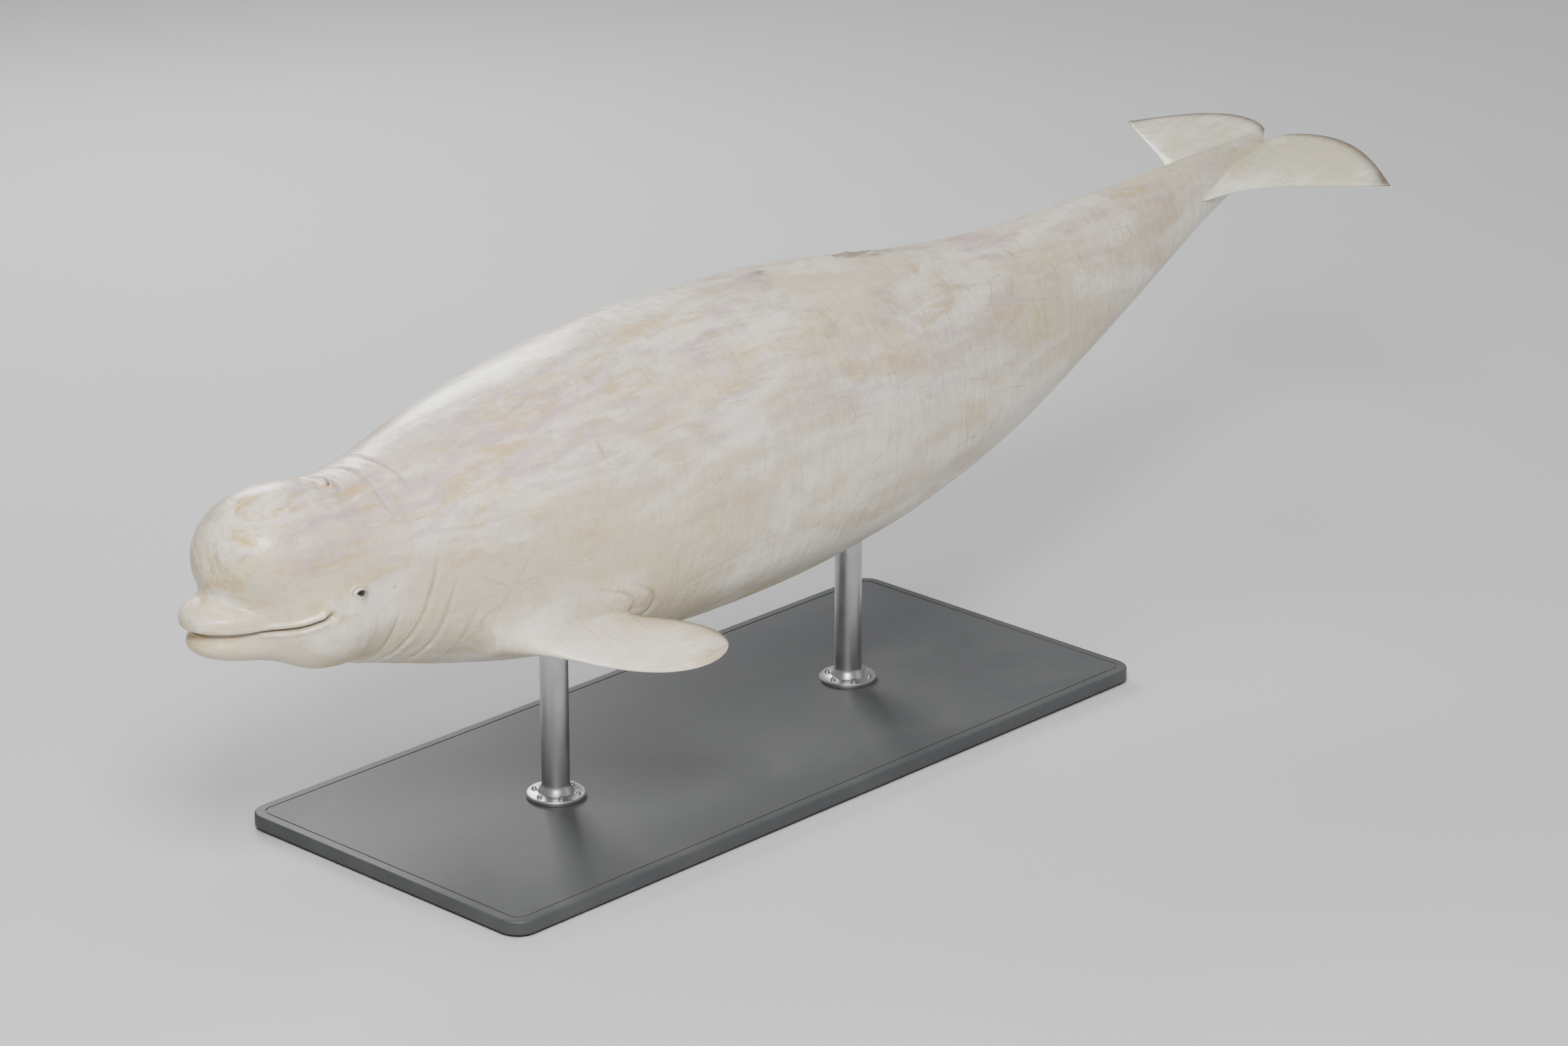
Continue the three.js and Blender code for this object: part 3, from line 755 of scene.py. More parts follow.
def unit(rows: Array) -> Array:
    """The rows with their lengths made 1."""
    return rows / np.maximum(np.linalg.norm(rows, axis=1, keepdims=True), 1e-12)


def mirrored(points: Array) -> Array:
    """The points of both sides laid on the right one."""
    return np.stack([points[:, 0], np.abs(points[:, 1]), points[:, 2]], axis=1)


class SkinDetail:
    """Something small on the skin, shaped by a push along the skin's normal."""

    def push(self, points: Array) -> Array:
        """How far each point of the skin moves out."""
        return np.zeros(len(points))

    def spacing(self, points: Array) -> Array:
        """The mesh spacing that the detail needs at each point."""
        return np.full(len(points), NOWHERE)

    def crease(self, points: Array) -> Array:
        """How far each point lies in a crease, from 0 to 1: the strength of the painted shade there."""
        return np.zeros(len(points))


def graded(distance: Array, fine: float, coarse: float, near: float, far: float) -> Array:
    """A mesh spacing that is fine up to near, and grows to coarse at far from a detail."""
    spacing = fine + (coarse - fine) * smooth((distance - near) / (far - near))
    return np.where(distance < far, spacing, NOWHERE)


@dataclass
class Mouth(SkinDetail):
    """The line of the mouth, between two soft lips, turned up at its corners."""

    form: WhaleForm
    tip: float = part(-0.0235)
    corner: float = part(0.066)
    upturn: float = part(0.011)
    depth: float = 0.0105
    half_open: float = 0.0034
    upper_lip: float = 0.0062
    lower_lip: float = 0.0048
    lip_offset: float = 0.0125
    lip_half: float = 0.0075
    dimple: float = 0.006
    dimple_half: float = 0.011
    pout: float = 0.0035
    pout_at: float = 0.021
    pout_half: float = 0.01

    def __post_init__(self) -> None:
        """Finds the corner of the mouth on the right cheek."""
        height = float(self.line(np.array(self.corner)))
        self.corner_point = self.form.skin_point(self.corner, height, Side.RIGHT)

    def line(self, x: Array) -> Array:
        """The height of the mouth line."""
        return self.tip + self.upturn * np.clip(x / self.corner, 0.0, 1.15) ** 3

    def away(self, points: Array) -> tuple[Array, Array]:
        """Each point's height over the mouth line, and how far the lips have faded out there."""
        x, _, z = points.T
        return z - self.line(x), smooth((x - self.corner + 0.03) / 0.05)

    def push(self, points: Array) -> Array:
        """The groove of the mouth and the roll of each lip.

        Args:
            points: Rows of x, y and z.

        Returns:
            The push at each point.
        """
        high, faded = self.away(points)
        end = smooth((points[:, 0] - self.corner + 0.012) / 0.02)
        groove = self.depth * bell(high / self.half_open) * (1.0 - end)
        upper = self.upper_lip * bell((high - self.lip_offset) / self.lip_half)
        lower = self.lower_lip * bell((high + self.lip_offset) / self.lip_half)
        away = self.corner_distance(points)
        pout = self.pout * bell((away - self.pout_at) / self.pout_half)
        tuck = self.dimple * bell(away / self.dimple_half) - pout
        return (upper + lower) * (1.0 - faded) - groove - tuck

    def corner_distance(self, points: Array) -> Array:
        """How far each point is from the nearer corner of the mouth."""
        return np.linalg.norm(mirrored(points) - self.corner_point, axis=1)

    def spacing(self, points: Array) -> Array:
        """Finest along the line of the mouth.

        Args:
            points: Rows of x, y and z.

        Returns:
            The spacing at each point.
        """
        high, _ = self.away(points)
        beyond = np.maximum(0.0, points[:, 0] - self.corner - 0.01)
        return graded(np.hypot(high, beyond), 0.0016, 0.007, 0.006, 0.045)

    def crease(self, points: Array) -> Array:
        """The painted shade inside the mouth line."""
        high, _ = self.away(points)
        return bell(high / 0.005) * (1.0 - smooth((points[:, 0] - self.corner) / 0.012))


@dataclass
class Eye(SkinDetail):
    """One small eye: a ball behind two soft lids, in a low mound."""

    form: WhaleForm
    side: Side
    at: float = part(0.0865)
    height: float = part(-0.0025)
    radius: float = 0.019
    sunk: float = 0.011
    lid_thick: float = 0.0026
    mound_web: float = 0.02
    half_width: float = 0.0165
    upper: float = 0.0088
    lower: float = 0.0078
    tilt: float = math.radians(8.0)
    socket: float = 0.009
    rim: float = 0.0011
    folds: tuple[Triple, ...] = (  # depth, distance from the lids' edges, and half width
        (0.0017, 0.0082, 0.0016),
        (0.0012, 0.0165, 0.002),
    )

    def __post_init__(self) -> None:
        """Finds the ball's centre and the directions across its opening."""
        skin = self.form.skin_point(self.at, self.height, self.side)
        self.centre = skin - np.array([0.0, self.side.value * self.sunk, 0.0])
        self.out = unit(slope_of(self.form.torso.distance, skin[None])[1])[0]
        up = np.array([math.sin(self.tilt), 0.0, math.cos(self.tilt)])
        self.up = unit((up - self.out * (up @ self.out))[None])[0]
        self.across = np.cross(self.up, self.out)

    def mound(self, points: Array) -> Array:
        """How far each point is outside the lids' round mound."""
        return np.linalg.norm(points - self.centre, axis=1) - self.radius - self.lid_thick

    def opening(self, points: Array) -> Array:
        """How far each point is outside the almond between the lids.

        Args:
            points: Points near the eye.

        Returns:
            A distance across the skin, under 0 in the opening, and large on the far side.
        """
        d = points - self.centre
        u, v = d @ self.across, d @ self.up
        arcs = []
        for tall, way in ((self.upper, 1.0), (self.lower, -1.0)):
            bow = (self.half_width**2 + tall**2) / (2.0 * tall)
            arcs.append(np.hypot(u, way * v + bow - tall) - bow)
        edge = smooth_max(arcs[0], arcs[1], 0.002)
        return np.where(d @ self.out > 0.0, edge, 0.2)

    def push(self, points: Array) -> Array:
        """The opening, the lids' rolled edges and the fold round them.

        Args:
            points: Rows of x, y and z.

        Returns:
            The push at each point.
        """
        edge = self.opening(points)
        socket = self.socket * smooth(-edge / 0.0022)
        rim = self.rim * bell((edge - 0.0018) / 0.0016)
        return rim - socket - sum(depth * bell((edge - at) / half) for depth, at, half in self.folds)

    def spacing(self, points: Array) -> Array:
        """Finest at the lids' edges."""
        return graded(np.abs(self.opening(points)), 0.0009, 0.008, 0.004, 0.06)

    def crease(self, points: Array) -> Array:
        """Painted shade at the rim of the lids and in the folds round them.

        Args:
            points: Rows of x, y and z.

        Returns:
            The shade at each point.
        """
        edge = self.opening(points)
        rim = bell(np.minimum(edge - 0.0005, 0.0) / 0.01) * smooth((0.0035 - edge) / 0.003)
        return np.maximum(rim, 0.6 * bell((edge - self.folds[0][1]) / 0.0022))


@dataclass
class Ear(SkinDetail):
    """A pinhole behind the eye."""

    form: WhaleForm
    side: Side
    at: float = part(0.113)
    height: float = part(-0.003)
    radius: float = 0.0026
    depth: float = 0.005
    dimple: float = 0.0022
    dimple_half: float = 0.012

    def __post_init__(self) -> None:
        """Finds its place on the skin."""
        self.centre = self.form.skin_point(self.at, self.height, self.side)

    def away(self, points: Array) -> Array:
        """How far each point is from the pinhole."""
        return np.linalg.norm(points - self.centre, axis=1)

    def push(self, points: Array) -> Array:
        """A small pit in a shallow dimple."""
        away = self.away(points)
        return -self.depth * bell(away / self.radius) - self.dimple * bell(away / self.dimple_half)

    def spacing(self, points: Array) -> Array:
        """Finest at the pit."""
        return graded(self.away(points), 0.001, 0.009, 0.005, 0.05)

    def crease(self, points: Array) -> Array:
        """The painted shade in the pit."""
        return bell(self.away(points) / 0.0035)


@dataclass
class Blowhole(SkinDetail):
    """A crescent slit on top of the head, a little left of the middle, with a raised rim."""

    at: float = part(0.0965)
    across: float = 0.042
    bow: float = 0.018
    off: float = -0.008
    depth: float = 0.014
    half_open: float = 0.0033
    rim: float = 0.0055
    plug: float = 0.0035
    moat: float = 0.0025

    def __post_init__(self) -> None:
        """Lays points along the crescent."""
        t = np.linspace(-1.0, 1.0, 41)
        self.line = np.stack([self.at + self.bow * (0.5 - t * t), self.off + self.across * t], axis=1)

    def away(self, points: Array) -> Array:
        """How far each point on top of the head is from the slit; large elsewhere.

        Args:
            points: Rows of x, y and z.

        Returns:
            The distance of each.
        """
        result = np.full(len(points), 0.3)
        x, y, z = points.T
        near = (np.abs(x - self.at) < 0.15) & (np.abs(y) < 0.15) & (z > 0.08)
        flat = points[near, None, :2] - self.line[None]
        result[near] = np.linalg.norm(flat, axis=2).min(axis=1, initial=0.3)
        return result

    def open_share(self, points: Array) -> Array:
        """How deep the slit is at each point across the head, from 1 in the middle to 0 at its ends."""
        return 1.0 - smooth((np.abs(points[:, 1] - self.off) / self.across - 0.45) / 0.55)

    def push(self, points: Array) -> Array:
        """The slit, its rim, and the soft plug in front of it.

        Args:
            points: Rows of x, y and z.

        Returns:
            The push at each point.
        """
        away = self.away(points)
        share = self.open_share(points)
        middle = np.hypot(points[:, 0] - self.at + 0.012, points[:, 1] - self.off)
        plug = self.plug * bell(middle / 0.026) * (away < 0.25)
        moat = self.moat * bell((away - 0.03) / 0.01)
        rim = self.rim * (0.35 + 0.65 * share) * bell((away - 0.0085) / 0.007)
        return rim + plug - moat - self.depth * share * bell(away / self.half_open)

    def spacing(self, points: Array) -> Array:
        """Finest at the slit."""
        return graded(self.away(points), 0.0014, 0.008, 0.006, 0.06)

    def crease(self, points: Array) -> Array:
        """The painted shade inside the slit."""
        return self.open_share(points) * bell(self.away(points) / 0.0048)


@dataclass(kw_only=True)
class Folds(SkinDetail):
    """Creases of loose skin, each between two soft rolls."""

    form: WhaleForm
    half: float
    roll: float
    roll_at: float
    roll_half: float
    finest: float
    shade: float

    def lines(self, points: Array) -> list[tuple[float, Array, Array]]:
        """For each crease its depth, and every point's distance from it and the crease's strength there."""
        raise NotImplementedError

    def push(self, points: Array) -> Array:
        """Each crease with the soft roll of skin on both of its sides.

        Args:
            points: Rows of x, y and z.

        Returns:
            The push at each point.
        """
        total = np.zeros(len(points))
        for depth, away, strength in self.lines(points):
            roll = self.roll * bell((np.abs(away) - self.roll_at) / self.roll_half)
            total += depth * strength * (roll - bell(away / self.half))
        return total

    def spacing(self, points: Array) -> Array:
        """Fine along each crease.

        Args:
            points: Rows of x, y and z.

        Returns:
            The spacing at each point.
        """
        spacing = np.full(len(points), NOWHERE)
        for _, away, strength in self.lines(points):
            near = np.abs(away) + 0.03 * (strength < 0.05)
            spacing = np.minimum(spacing, graded(near, self.finest, 0.012, 0.007, 0.03))
        return spacing

    def crease(self, points: Array) -> Array:
        """The painted shade in each crease."""
        shades = [self.shade * strength * bell(away / 0.004) for _, away, strength in self.lines(points)]
        return np.maximum.reduce(shades)


@dataclass(frozen=True)
class Fold:
    """One crease across the neck, from a low angle up the flank to a high one."""

    at: float
    lean: float
    low: float
    high: float
    depth: float


@dataclass(kw_only=True)
class NeckFolds(Folds):
    """Creases of loose skin where the head turns: across the throat, and behind the head."""

    folds: tuple[Fold, ...] = (
        Fold(part(0.1215), part(0.008), -200.0, -2.0, 0.0032),
        Fold(part(0.1375), part(0.012), -200.0, 26.0, 0.0046),
        Fold(part(0.1545), part(0.014), -200.0, 8.0, 0.0038),
        Fold(part(0.174), part(0.012), -66.0, -8.0, 0.0022),
        Fold(part(0.126), part(-0.006), 34.0, 200.0, 0.003),
        Fold(part(0.1425), part(-0.004), 44.0, 200.0, 0.0024),
    )
    half: float = 0.0052
    roll: float = 0.62
    roll_at: float = 0.017
    roll_half: float = 0.0135
    finest: float = 0.0042
    shade: float = 0.55
    fade: float = 26.0  # degrees over which a crease's ends fade

    def lines(self, points: Array) -> list[tuple[float, Array, Array]]:
        """Where points are from each crease, and how strong it is there.

        Args:
            points: Rows of x, y and z.

        Returns:
            The depth, the distances and the strengths, for each crease.
        """
        x, y, z = points.T
        angle = self.form.round_angle(points)
        found = []
        for i, fold in enumerate(self.folds):
            wander = 0.006 * np.sin(angle / 17.0 + 2.1 * i) + 0.003 * np.sin(23.0 * z + 31.0 * y + i)
            behind = x - fold.at - fold.lean * np.sin(np.radians(angle)) - wander
            strength = smooth((angle - fold.low) / self.fade) * smooth((fold.high - angle) / self.fade)
            found.append((fold.depth, behind, strength * (0.8 + 0.2 * np.sin(angle / 9.0 + i))))
        return found


@dataclass(kw_only=True)
class ShoulderFolds(Folds):
    """Creases that curve round the root of each flipper."""

    radii: tuple[float, ...] = (0.155, 0.195)
    depth: float = 0.0026
    half: float = 0.005
    roll: float = 0.7
    roll_at: float = 0.016
    roll_half: float = 0.013
    finest: float = 0.0045
    shade: float = 0.4

    def lines(self, points: Array) -> list[tuple[float, Array, Array]]:
        """Where points are from each crease, and how strong it is there.

        Args:
            points: Rows of x, y and z.

        Returns:
            The depth, the distances and the strengths, for each crease.
        """
        found = []
        flipper = self.form.flippers[1]
        d = mirrored(points) - (flipper.root + flipper.out * flipper.skin_at)
        along, up = d @ flipper.forward, d @ flipper.up
        away = np.hypot(along, 1.25 * up)
        bearing = np.degrees(np.arctan2(up, -along))
        for i, radius in enumerate(self.radii):
            strength = smooth((bearing + 85.0) / 40.0) * smooth((70.0 - 18.0 * i - bearing) / 40.0)
            found.append((self.depth, away - radius - 0.006 * np.sin(bearing / 13.0 + i), strength))
        return found


@dataclass
class Blubber(SkinDetail):
    """Broad, soft unevenness: folds of fat along the belly, and slow swells elsewhere."""

    form: WhaleForm
    folds: tuple[tuple[float, float, float, float], ...] = (  # start, end, angle and half width
        (0.3, 0.62, -38.0, 9.0),
        (0.36, 0.66, -58.0, 8.0),
        (0.5, 0.76, -24.0, 8.0),
    )
    fold_height: float = 0.0085
    swell: float = 0.0022
    seed: int = 11

    def __post_init__(self) -> None:
        """Draws the directions of the slow swells."""
        chance = np.random.default_rng(self.seed)
        self.waves = chance.uniform((4.0, 5.0, 5.0, 0.0), (11.0, 17.0, 17.0, 6.28), (9, 4))
        self.waves[:, :3] *= chance.choice((-1.0, 1.0), (9, 3))

    def push(self, points: Array) -> Array:
        """The folds of fat and the swells.

        Args:
            points: Rows of x, y and z.

        Returns:
            The push at each point.
        """
        x = points[:, 0] / LENGTH
        angle = self.form.round_angle(points)
        side = np.sign(points[:, 1])
        total = np.zeros(len(points))
        for i, (start, end, middle, half) in enumerate(self.folds):
            t = np.clip((x - start) / (end - start), 0.0, 1.0)
            bank = middle + 5.0 * np.sin(9.0 * x + 2.0 * i + 0.7 * side)
            strength = np.sin(np.pi * t) ** 1.2 * (0.75 + 0.25 * np.sin(41.0 * x + 3.0 * i + side))
            over = bell((angle - bank) / half)
            under = 0.75 * bell((angle - bank + 1.7 * half) / (0.62 * half))
            total += self.fold_height * strength * (over - under)
        phase = points @ self.waves[:, :3].T + self.waves[:, 3]
        return total + self.swell * np.sin(phase).sum(axis=1) / 3.0


@dataclass
class BellyMarks(SkinDetail):
    """The navel and the slits on the middle of the belly."""

    form: WhaleForm
    places: tuple[tuple[float, float, float, float], ...] = (  # place, half length, half width and depth
        (part(0.468), 0.012, 0.007, 0.0055),
        (part(0.632), 0.085, 0.006, 0.009),
        (part(0.69), 0.02, 0.006, 0.008),
    )

    def marks(self, points: Array) -> list[tuple[Array, float]]:
        """For each mark, every point's distance in its own half widths, and its depth.

        Args:
            points: Rows of x, y and z.

        Returns:
            The distances and the depth, for each mark.
        """
        x, y, z = points.T
        under = 10.0 * (z > self.form.torso.trunk.axis(x))
        found = []
        for at, half_length, half_width, depth in self.places:
            end = np.maximum(0.0, np.abs(x - at) - half_length)
            found.append((np.hypot(y, end) / half_width + under, depth))
        return found

    def push(self, points: Array) -> Array:
        """Each mark's groove with a low rim."""
        found = self.marks(points)
        return sum(depth * (0.35 * bell((away - 3.0) / 1.4) - bell(away)) for away, depth in found)

    def spacing(self, points: Array) -> Array:
        """Fine at each mark."""
        return np.minimum.reduce([graded(away, 0.0024, 0.013, 1.5, 8.0) for away, _ in self.marks(points)])

    def crease(self, points: Array) -> Array:
        """The painted shade in each mark."""
        return np.maximum.reduce([0.7 * bell(away / 0.8) for away, _ in self.marks(points)])


def new_object(name: str, points: Array, faces: Sequence[Sequence[int]]) -> Object:
    """Makes a mesh object in the scene.

    Args:
        name: The object's name.
        points: Rows of coordinates.
        faces: The corners of each face.

    Returns:
        The new object, at the origin.
    """
    mesh = bpy.data.meshes.new(name)
    mesh.from_pydata(np.asarray(points).tolist(), [], [list(map(int, f)) for f in faces])
    mesh.update()
    obj = bpy.data.objects.new(name, mesh)
    bpy.context.scene.collection.objects.link(obj)
    return obj


def loft_faces(rings: Sequence[Array]) -> list[tuple[int, ...]]:
    """The faces of a closed skin over rings, where a ring of one point is a pole.

    Args:
        rings: Arrays of points, each with one point or as many as the others.

    Returns:
        The faces, by the points' places in the stacked rings.
    """
    faces: list[tuple[int, ...]] = []
    first = 0
    for ring, following in zip(rings, rings[1:]):
        a, b = len(ring), len(following)
        nxt = first + a
        for k in range(max(a, b)):
            j = (k + 1) % max(a, b)
            if a == 1:
                faces.append((first, nxt + k, nxt + j))
            elif b == 1:
                faces.append((first + j, first + k, nxt))
            else:
                faces.append((first + k, nxt + k, nxt + j, first + j))
        first = nxt
    return faces


def grid_faces(rows: int, around: int, joined: bool) -> list[tuple[int, ...]]:
    """The faces between rows of points that each go round.

    Args:
        rows: How many rows there are.
        around: How many points are in each.
        joined: Whether the last row meets the first.

    Returns:
        The faces, by the points' places in the stacked rows.
    """
    faces = []
    for i in range(rows if joined else rows - 1):
        for k in range(around):
            j, n = (k + 1) % around, (i + 1) % rows
            faces.append((i * around + k, i * around + j, n * around + j, n * around + k))
    return faces


def face_out(obj: Object) -> Object:
    """Turns a closed object's faces outwards.

    Args:
        obj: The object.

    Returns:
        The same object.
    """
    shell = bmesh.new()
    shell.from_mesh(obj.data)
    bmesh.ops.recalc_face_normals(shell, faces=shell.faces)
    shell.to_mesh(obj.data)
    shell.free()
    return obj


def loft(name: str, rings: Sequence[Array]) -> Object:
    """Makes a closed object over rings of points, its faces outwards; a ring of one point is a pole."""
    return face_out(new_object(name, np.concatenate(rings), loft_faces(rings)))


def keep_values(obj: Object, name: str, values: Array) -> None:
    """Keeps a number for each point of an object, for its finish to read."""
    layer = obj.data.attributes.new(name, "FLOAT", "POINT")
    layer.data.foreach_set("value", values.astype(np.float32))


def bake(obj: Object) -> None:
    """Turns an object with modifiers into a plain mesh under the same name.

    Args:
        obj: The object.
    """
    evaluated = obj.evaluated_get(bpy.context.evaluated_depsgraph_get())
    mesh = bpy.data.meshes.new_from_object(evaluated)
    obj.modifiers.clear()
    obj.data = mesh
    mesh.name = obj.name


def triangles(*corners: tuple[Array, Array, Array]) -> list[Array]:
    """Rows of triangles, from the three columns of each batch."""
    return [np.stack(columns, axis=1) for columns in corners]


@dataclass
class SkinMesh:
    """The whale's skin as one closed mesh, fine where its details are."""

    form: WhaleForm
    eyes: list[Eye]
    details: list[SkinDetail]
    spine: Spine
    body_spacing: float = 0.015
    head_spacing: float = 0.0088
    fin_spacing: float = 0.0115
    edge_spacing: float = 0.0062
    edge_band: tuple[float, float] = (0.86, 1.6)  # how far across a fin its edges' finer mesh lies
    off_body: float = 0.012  # the skin this far outside the body is a fin's
    longest: float = 1.7  # an edge is split when it is this many spacings long
    passes: int = 7
    weld: float = 0.0008  # points of the joined lofts that are closer than this become one

    def surface(self, points: Array) -> Array:
        """How far each point is outside the whale with its eyes' mounds.

        Args:
            points: Rows of x, y and z.

        Returns:
            A distance for each, under 0 inside.
        """
        value = self.form.distance(points)
        for eye in self.eyes:
            near = np.linalg.norm(points - eye.centre, axis=1) < 0.12
            value[near] = smooth_min(value[near], eye.mound(points[near]), eye.mound_web)
        return value

    def union(self) -> tuple[Array, Array]:
        """The body and fins joined in one coarse closed mesh of triangles.

        Returns:
            The points and the triangles.
        """
        rings = self.form.torso.rings()
        rings.append(rings[-1].mean(axis=0)[None])
        whole = loft("whale_skin", rings)
        for i, fin in enumerate(self.form.fins):
            fin_rings = fin.rings()
            piece = loft(f"fin_{i}", [fin_rings[0].mean(axis=0)[None], *fin_rings])
            join = whole.modifiers.new("join", "BOOLEAN")
            join.operation, join.solver, join.object = "UNION", "EXACT", piece
            bake(whole)
            bpy.data.objects.remove(piece)
        shell = bmesh.new()
        shell.from_mesh(whole.data)
        bmesh.ops.remove_doubles(shell, verts=shell.verts, dist=self.weld)
        bmesh.ops.dissolve_degenerate(shell, edges=shell.edges, dist=self.weld / 2.0)
        bmesh.ops.triangulate(shell, faces=shell.faces)
        # welding can leave a triangle that hangs on by one side or two
        while flaps := [f for f in shell.faces if any(len(e.link_faces) == 1 for e in f.edges)]:
            bmesh.ops.delete(shell, geom=flaps, context="FACES_ONLY")
        points = np.array([v.co for v in shell.verts])
        shell.verts.index_update()
        faces = np.array([[v.index for v in f.verts] for f in shell.faces])
        shell.free()
        bpy.data.objects.remove(whole)
        return points, faces

    def spacing(self, points: Array) -> Array:
        """The mesh spacing wanted at each point.

        Args:
            points: Rows of x, y and z.

        Returns:
            The spacing at each point.
        """
        x = points[:, 0]
        behind = smooth((x - part(0.11)) / part(0.06))
        spacing = self.head_spacing + (self.body_spacing - self.head_spacing) * behind
        on_fin = self.form.torso.distance(points) > self.off_body
        spacing = np.where(on_fin, self.fin_spacing, spacing)
        low, high = self.edge_band
        for fin in self.form.fins:
            edge = fin.edge_share(points)
            spacing = np.where(on_fin & (edge > low) & (edge < high), self.edge_spacing, spacing)
        for detail in self.details:
            spacing = np.minimum(spacing, detail.spacing(points))
        return spacing

    def split(self, points: Array, faces: Array) -> tuple[Array, Array]:
        """Splits every edge that is longer than its place calls for.

        Args:
            points: Rows of coordinates.
            faces: Triangles.

        Returns:
            The points and triangles after one round of splits.
        """
        count = len(points)
        pairs = np.sort(faces[:, [0, 1, 1, 2, 2, 0]].reshape(-1, 2), axis=1)
        keys, index = np.unique(pairs[:, 0] * count + pairs[:, 1], return_inverse=True)
        a, b = keys // count, keys % count
        middle = (points[a] + points[b]) / 2.0
        long = np.linalg.norm(points[a] - points[b], axis=1) > self.longest * self.spacing(middle)
        number = np.full(len(keys), -1)
        number[long] = count + np.arange(long.sum())
        points = np.vstack([points, middle[long]])
        mid = number[index.reshape(-1)].reshape(-1, 3)
        marked = (mid >= 0).sum(axis=1)
        result = [faces[marked == 0]]
        for turn in range(3):
            order = np.roll([0, 1, 2], -turn)
            v, m = faces[:, order], mid[:, order]
            one = (marked == 1) & (m[:, 0] >= 0)
            result += triangles((v[one, 0], m[one, 0], v[one, 2]), (m[one, 0], v[one, 1], v[one, 2]))
            two = (marked == 2) & (m[:, 2] < 0)
            (p, q, r), (s, t) = v[two].T, m[two, :2].T
            result += triangles((s, q, t))
            ways = (points[p] - points[t], points[s] - points[r])
            short = np.linalg.norm(ways[0], axis=1) < np.linalg.norm(ways[1], axis=1)
            result += [rows[short] for rows in triangles((p, s, t), (p, t, r))]
            result += [rows[~short] for rows in triangles((s, t, r), (p, s, r))]
        v, m = faces[marked == 3], mid[marked == 3]
        result += triangles(*((v[:, i], m[:, i], m[:, i - 1]) for i in range(3)))
        result.append(m)
        return points, np.concatenate(result)

    def settle(self, points: Array, faces: Array, rounds: int, relax: float) -> Array:
        """Evens out the mesh along the surface, and moves every point onto it.

        Args:
            points: Rows of coordinates.
            faces: Triangles.
            rounds: How many times to do it.
            relax: How far each point goes towards its neighbours' middle, from 0 to 1.

        Returns:
            The moved points.
        """
        count = len(points)
        ends = faces[:, [0, 1, 1, 2, 2, 0]].reshape(-1, 2)
        shared = np.bincount(ends[:, 0], minlength=count)
        for _ in range(rounds):
            value, slope = slope_of(self.surface, points)
            size = np.maximum(np.linalg.norm(slope, axis=1), 1e-3)
            step = np.clip(value / size, -0.003, 0.003)
            normal = slope / size[:, None]
            points = points - normal * (step * self.firm(points))[:, None]
            if relax > 0.0:
                sums = [np.bincount(ends[:, 0], points[ends[:, 1], k], count) for k in range(3)]
                drift = np.stack(sums, axis=1) / shared[:, None] - points
                drift -= normal * np.sum(drift * normal, axis=1, keepdims=True)
                points = points + relax * drift * self.firm(points)[:, None]
        return points

    def firm(self, points: Array) -> Array:
        """1 over most of the skin, falling to 0 at the fins' tips, where the lofts are kept."""
        return 1.0 - np.maximum.reduce([fin.tip_share(points) for fin in self.form.fins])

    def build(self) -> Object:
        """Makes the skin, with the masks that its finish reads.

        Returns:
            The skin, in the pose.
        """
        points, faces = self.union()
        log.info("joined skin: %d faces", len(faces))
        points = self.settle(points, faces, 3, 0.0)
        for i in range(self.passes):
            before = len(faces)
            points, faces = self.split(points, faces)
            points = self.settle(points, faces, 2, 0.35)
            log.info("pass %d: %d faces", i + 1, len(faces))
            if len(faces) < 1.004 * before:
                break
        points = self.settle(points, faces, 3, 0.2)
        points = self.settle(points, faces, 1, 0.0)
        _, slope = slope_of(self.surface, points)
        push = sum(detail.push(points) for detail in self.details)
        on_fin = smooth((self.form.torso.distance(points) - 0.004) / 0.03)
        push *= 1.0 - on_fin * (points[:, 0] > part(0.14))
        shaped = points + unit(slope) * push[:, None]
        skin = new_object("whale_skin", self.spine.bend(shaped), faces)
        for name, values in self.masks(points, on_fin).items():
            keep_values(skin, name, values)
        skin.data.shade_smooth()
        return skin

    def masks(self, points: Array, on_fin: Array) -> dict[str, Array]:
        """What the finish reads at each point: painted shade in creases, fin edges, the back, the head and
        the fins.

        Args:
            points: Rows of x, y and z.
            on_fin: How far each point lies on a fin, from 0 to 1.

        Returns:
            The values of each mask, by its name.
        """
        crease = np.maximum.reduce([detail.crease(points) for detail in self.details])
        edge = np.zeros(len(points))
        for fin in self.form.fins:
            on_blade = smooth((0.012 - fin.distance(points)) / 0.006)
            edge = np.maximum(edge, on_blade * fin.rear_edge(points))
        angle = self.form.round_angle(points)
        return {
            "crease": np.clip(crease, 0.0, 1.0),
            "edge": edge * on_fin,
            "back": smooth((angle + 15.0) / 75.0) * (1.0 - 0.6 * on_fin),
            "head": 1.0 - smooth((points[:, 0] - part(0.08)) / part(0.16)),
            "fluke": smooth((points[:, 0] - part(0.86)) / part(0.08)),
            "ridge": self.form.torso.trunk.ridge.rise(points[:, 0], points[:, 1]) / 0.02,
        }


